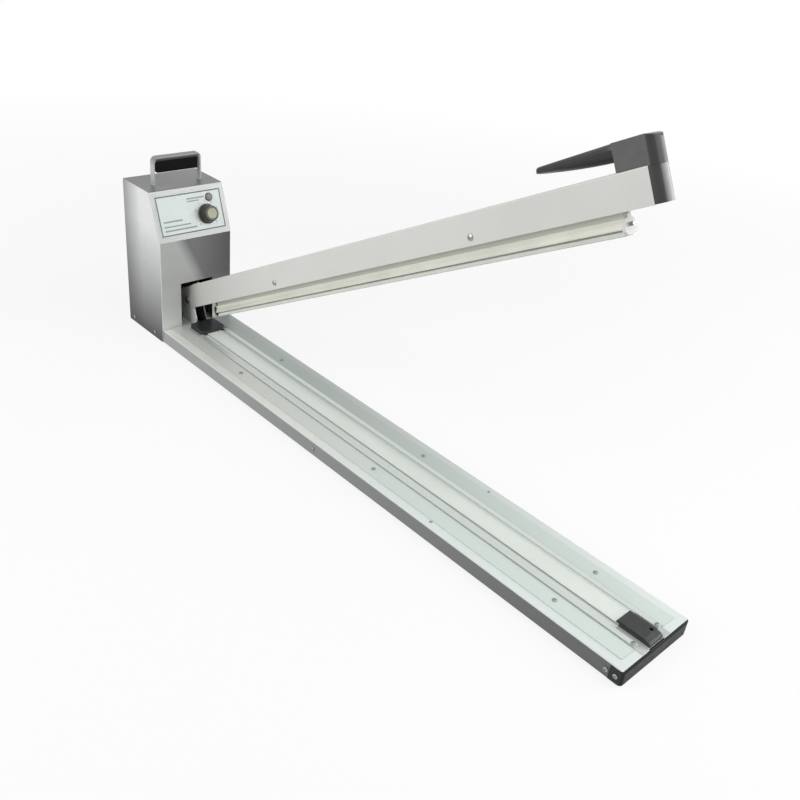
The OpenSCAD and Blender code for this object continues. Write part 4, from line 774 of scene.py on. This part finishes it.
class SEALER_OT_stage(SealerOperator):
    """Set up the floor, the surroundings, the lamps and the camera"""

    bl_idname = "sealer.stage"
    bl_label = "Stage"

    def execute(self, context):
        settings = context.scene.sealer_stage
        scene = context.scene
        scene.view_settings.view_transform = "Standard"
        self.floor()
        self.surroundings(scene, settings.ambient)
        self.lamp("Top softbox", (0.85, 0.15, 1.2), (0.3, 0.0, 0.1), 1.0, settings.top)
        self.lamp("Left softbox", (-0.55, -1.5, 1.05), (-0.1, 0.0, 0.25), 1.2, settings.left)
        self.lamp("Right softbox", (1.05, 1.3, 0.75), (0.35, 0.0, 0.45), 1.2, settings.right)
        self.camera(scene, settings.focal)
        return {"FINISHED"}

    def background_ray(self, tree):
        """One for a ray from the camera, or one that a gloss or a clear part sends on."""
        paths = add_node(tree, "LightPath", out="Is Camera Ray").node
        seen = paths.outputs["Is Camera Ray"]
        for name in ("Is Glossy Ray", "Is Transmission Ray"):
            seen = add_node(tree, "Math", {0: seen, 1: paths.outputs[name]}, operation="MAXIMUM")
        return seen

    def floor(self):
        """A wide pale floor that still takes the object's shadow."""
        half = 30.0
        mesh = bpy.data.meshes.new("studio_floor")
        mesh.from_pydata([(-half, -half, 0), (half, -half, 0), (half, half, 0), (-half, half, 0)],
                         [], [(0, 1, 2, 3)])
        floor = bpy.data.objects.new("studio_floor", mesh)
        bpy.context.collection.objects.link(floor)
        material = finish("studio_paper", srgb("#E6E6E6"), 0.9, 500 * MM, (0.99, 1.01))
        tree = material.node_tree
        white = add_node(tree, "Emission", {"Color": (1, 1, 1, 1), "Strength": 1.0})
        # Near the object the paper keeps its shadow, and far off it goes over into the white room
        place = add_node(tree, "TexCoord", out="Object")
        away = add_node(tree, "VectorMath", {0: place}, out="Value", operation="LENGTH")
        white_share = add_node(tree, "MapRange", {"Value": away, "From Min": 0.7, "From Max": 2.2,
                                                  "To Min": 0.84, "To Max": 1.0})
        part = add_node(tree, "Math", {0: self.background_ray(tree), 1: white_share},
                        operation="MULTIPLY")
        paper = tree.nodes["Principled BSDF"].outputs[0]
        mix = add_node(tree, "MixShader", {0: part, 1: paper, 2: white})
        tree.links.new(mix, tree.nodes["Material Output"].inputs["Surface"])
        mesh.materials.append(material)

    def surroundings(self, scene, strength):
        """White to the camera and in reflections, a plain soft grey light on the object."""
        world = bpy.data.worlds.new("soft_room")
        scene.world = world
        world.use_nodes = True
        tree = world.node_tree
        tree.nodes.clear()
        room = add_node(tree, "Background", {"Color": (0.95, 0.97, 1.0, 1), "Strength": strength})
        white = add_node(tree, "Background", {"Color": (1, 1, 1, 1), "Strength": 1.0})
        mix = add_node(tree, "MixShader", {0: self.background_ray(tree), 1: room, 2: white})
        tree.nodes.new("ShaderNodeOutputWorld").is_active_output = True
        tree.links.new(mix, tree.nodes["World Output"].inputs["Surface"])

    def lamp(self, name, where, target, size, power):
        """A square softbox that looks at its target and that the camera doesn't see."""
        data = bpy.data.lights.new(name, "AREA")
        data.size = size
        data.energy = power
        lamp = bpy.data.objects.new(name, data)
        lamp.location = where
        direction = Vector(target) - Vector(where)
        lamp.rotation_euler = direction.to_track_quat("-Z", "Y").to_euler()
        lamp.visible_camera = False
        bpy.context.collection.objects.link(lamp)

    def camera(self, scene, focal):
        """The photograph's viewpoint, solved from the straight edges of the base and housing."""
        where = (0.80439, -0.74045, 0.71995)
        azimuth, elevation, roll = (math.radians(v) for v in (43.774, 30.363, 6.706))
        right = Vector((math.cos(azimuth), math.sin(azimuth), 0.0))
        back = right.cross(Z) * math.cos(elevation) + Z * math.sin(elevation)
        up = back.cross(right)
        turned_right = right * math.cos(roll) + up * math.sin(roll)
        turned_up = up * math.cos(roll) - right * math.sin(roll)
        data = bpy.data.cameras.new("photo_camera")
        data.sensor_width = 36.0
        data.lens = focal
        data.clip_end = 100.0
        camera = bpy.data.objects.new("photo_camera", data)
        rotation = Matrix((turned_right, turned_up, back)).transposed().to_4x4()
        camera.matrix_world = Matrix.Translation(where) @ rotation
        bpy.context.collection.objects.link(camera)
        scene.camera = camera


OPERATORS = (SEALER_OT_stage, SEALER_OT_sheet_metal, SEALER_OT_arm, SEALER_OT_plastics,
             SEALER_OT_inner_parts, SEALER_OT_cloth, SEALER_OT_panel_print, SEALER_OT_knob_pointer)


class SEALER_PT_panel(bpy.types.Panel):
    """Lists the sealer's operators"""

    bl_idname = "SEALER_PT_panel"
    bl_label = "Bag sealer"
    bl_space_type = "VIEW_3D"
    bl_region_type = "UI"
    bl_category = "Sealer"

    def draw(self, context):
        for operator in OPERATORS:
            self.layout.operator(operator.bl_idname)


CLASSES = (*SETTINGS.values(), *OPERATORS, SEALER_PT_panel)


def register():
    for cls in CLASSES:
        bpy.utils.register_class(cls)
    for name, group in SETTINGS.items():
        setattr(bpy.types.Scene, name, PointerProperty(type=group))


def unregister():
    for name in SETTINGS:
        delattr(bpy.types.Scene, name)
    for cls in reversed(CLASSES):
        bpy.utils.unregister_class(cls)


def main():
    register()
    bpy.ops.sealer.stage()
    bpy.ops.sealer.sheet_metal()
    bpy.ops.sealer.arm()
    bpy.ops.sealer.plastics()
    bpy.ops.sealer.inner_parts()
    bpy.ops.sealer.cloth()
    bpy.ops.sealer.panel_print()
    bpy.ops.sealer.knob_pointer()


if __name__ == "__main__":
    main()
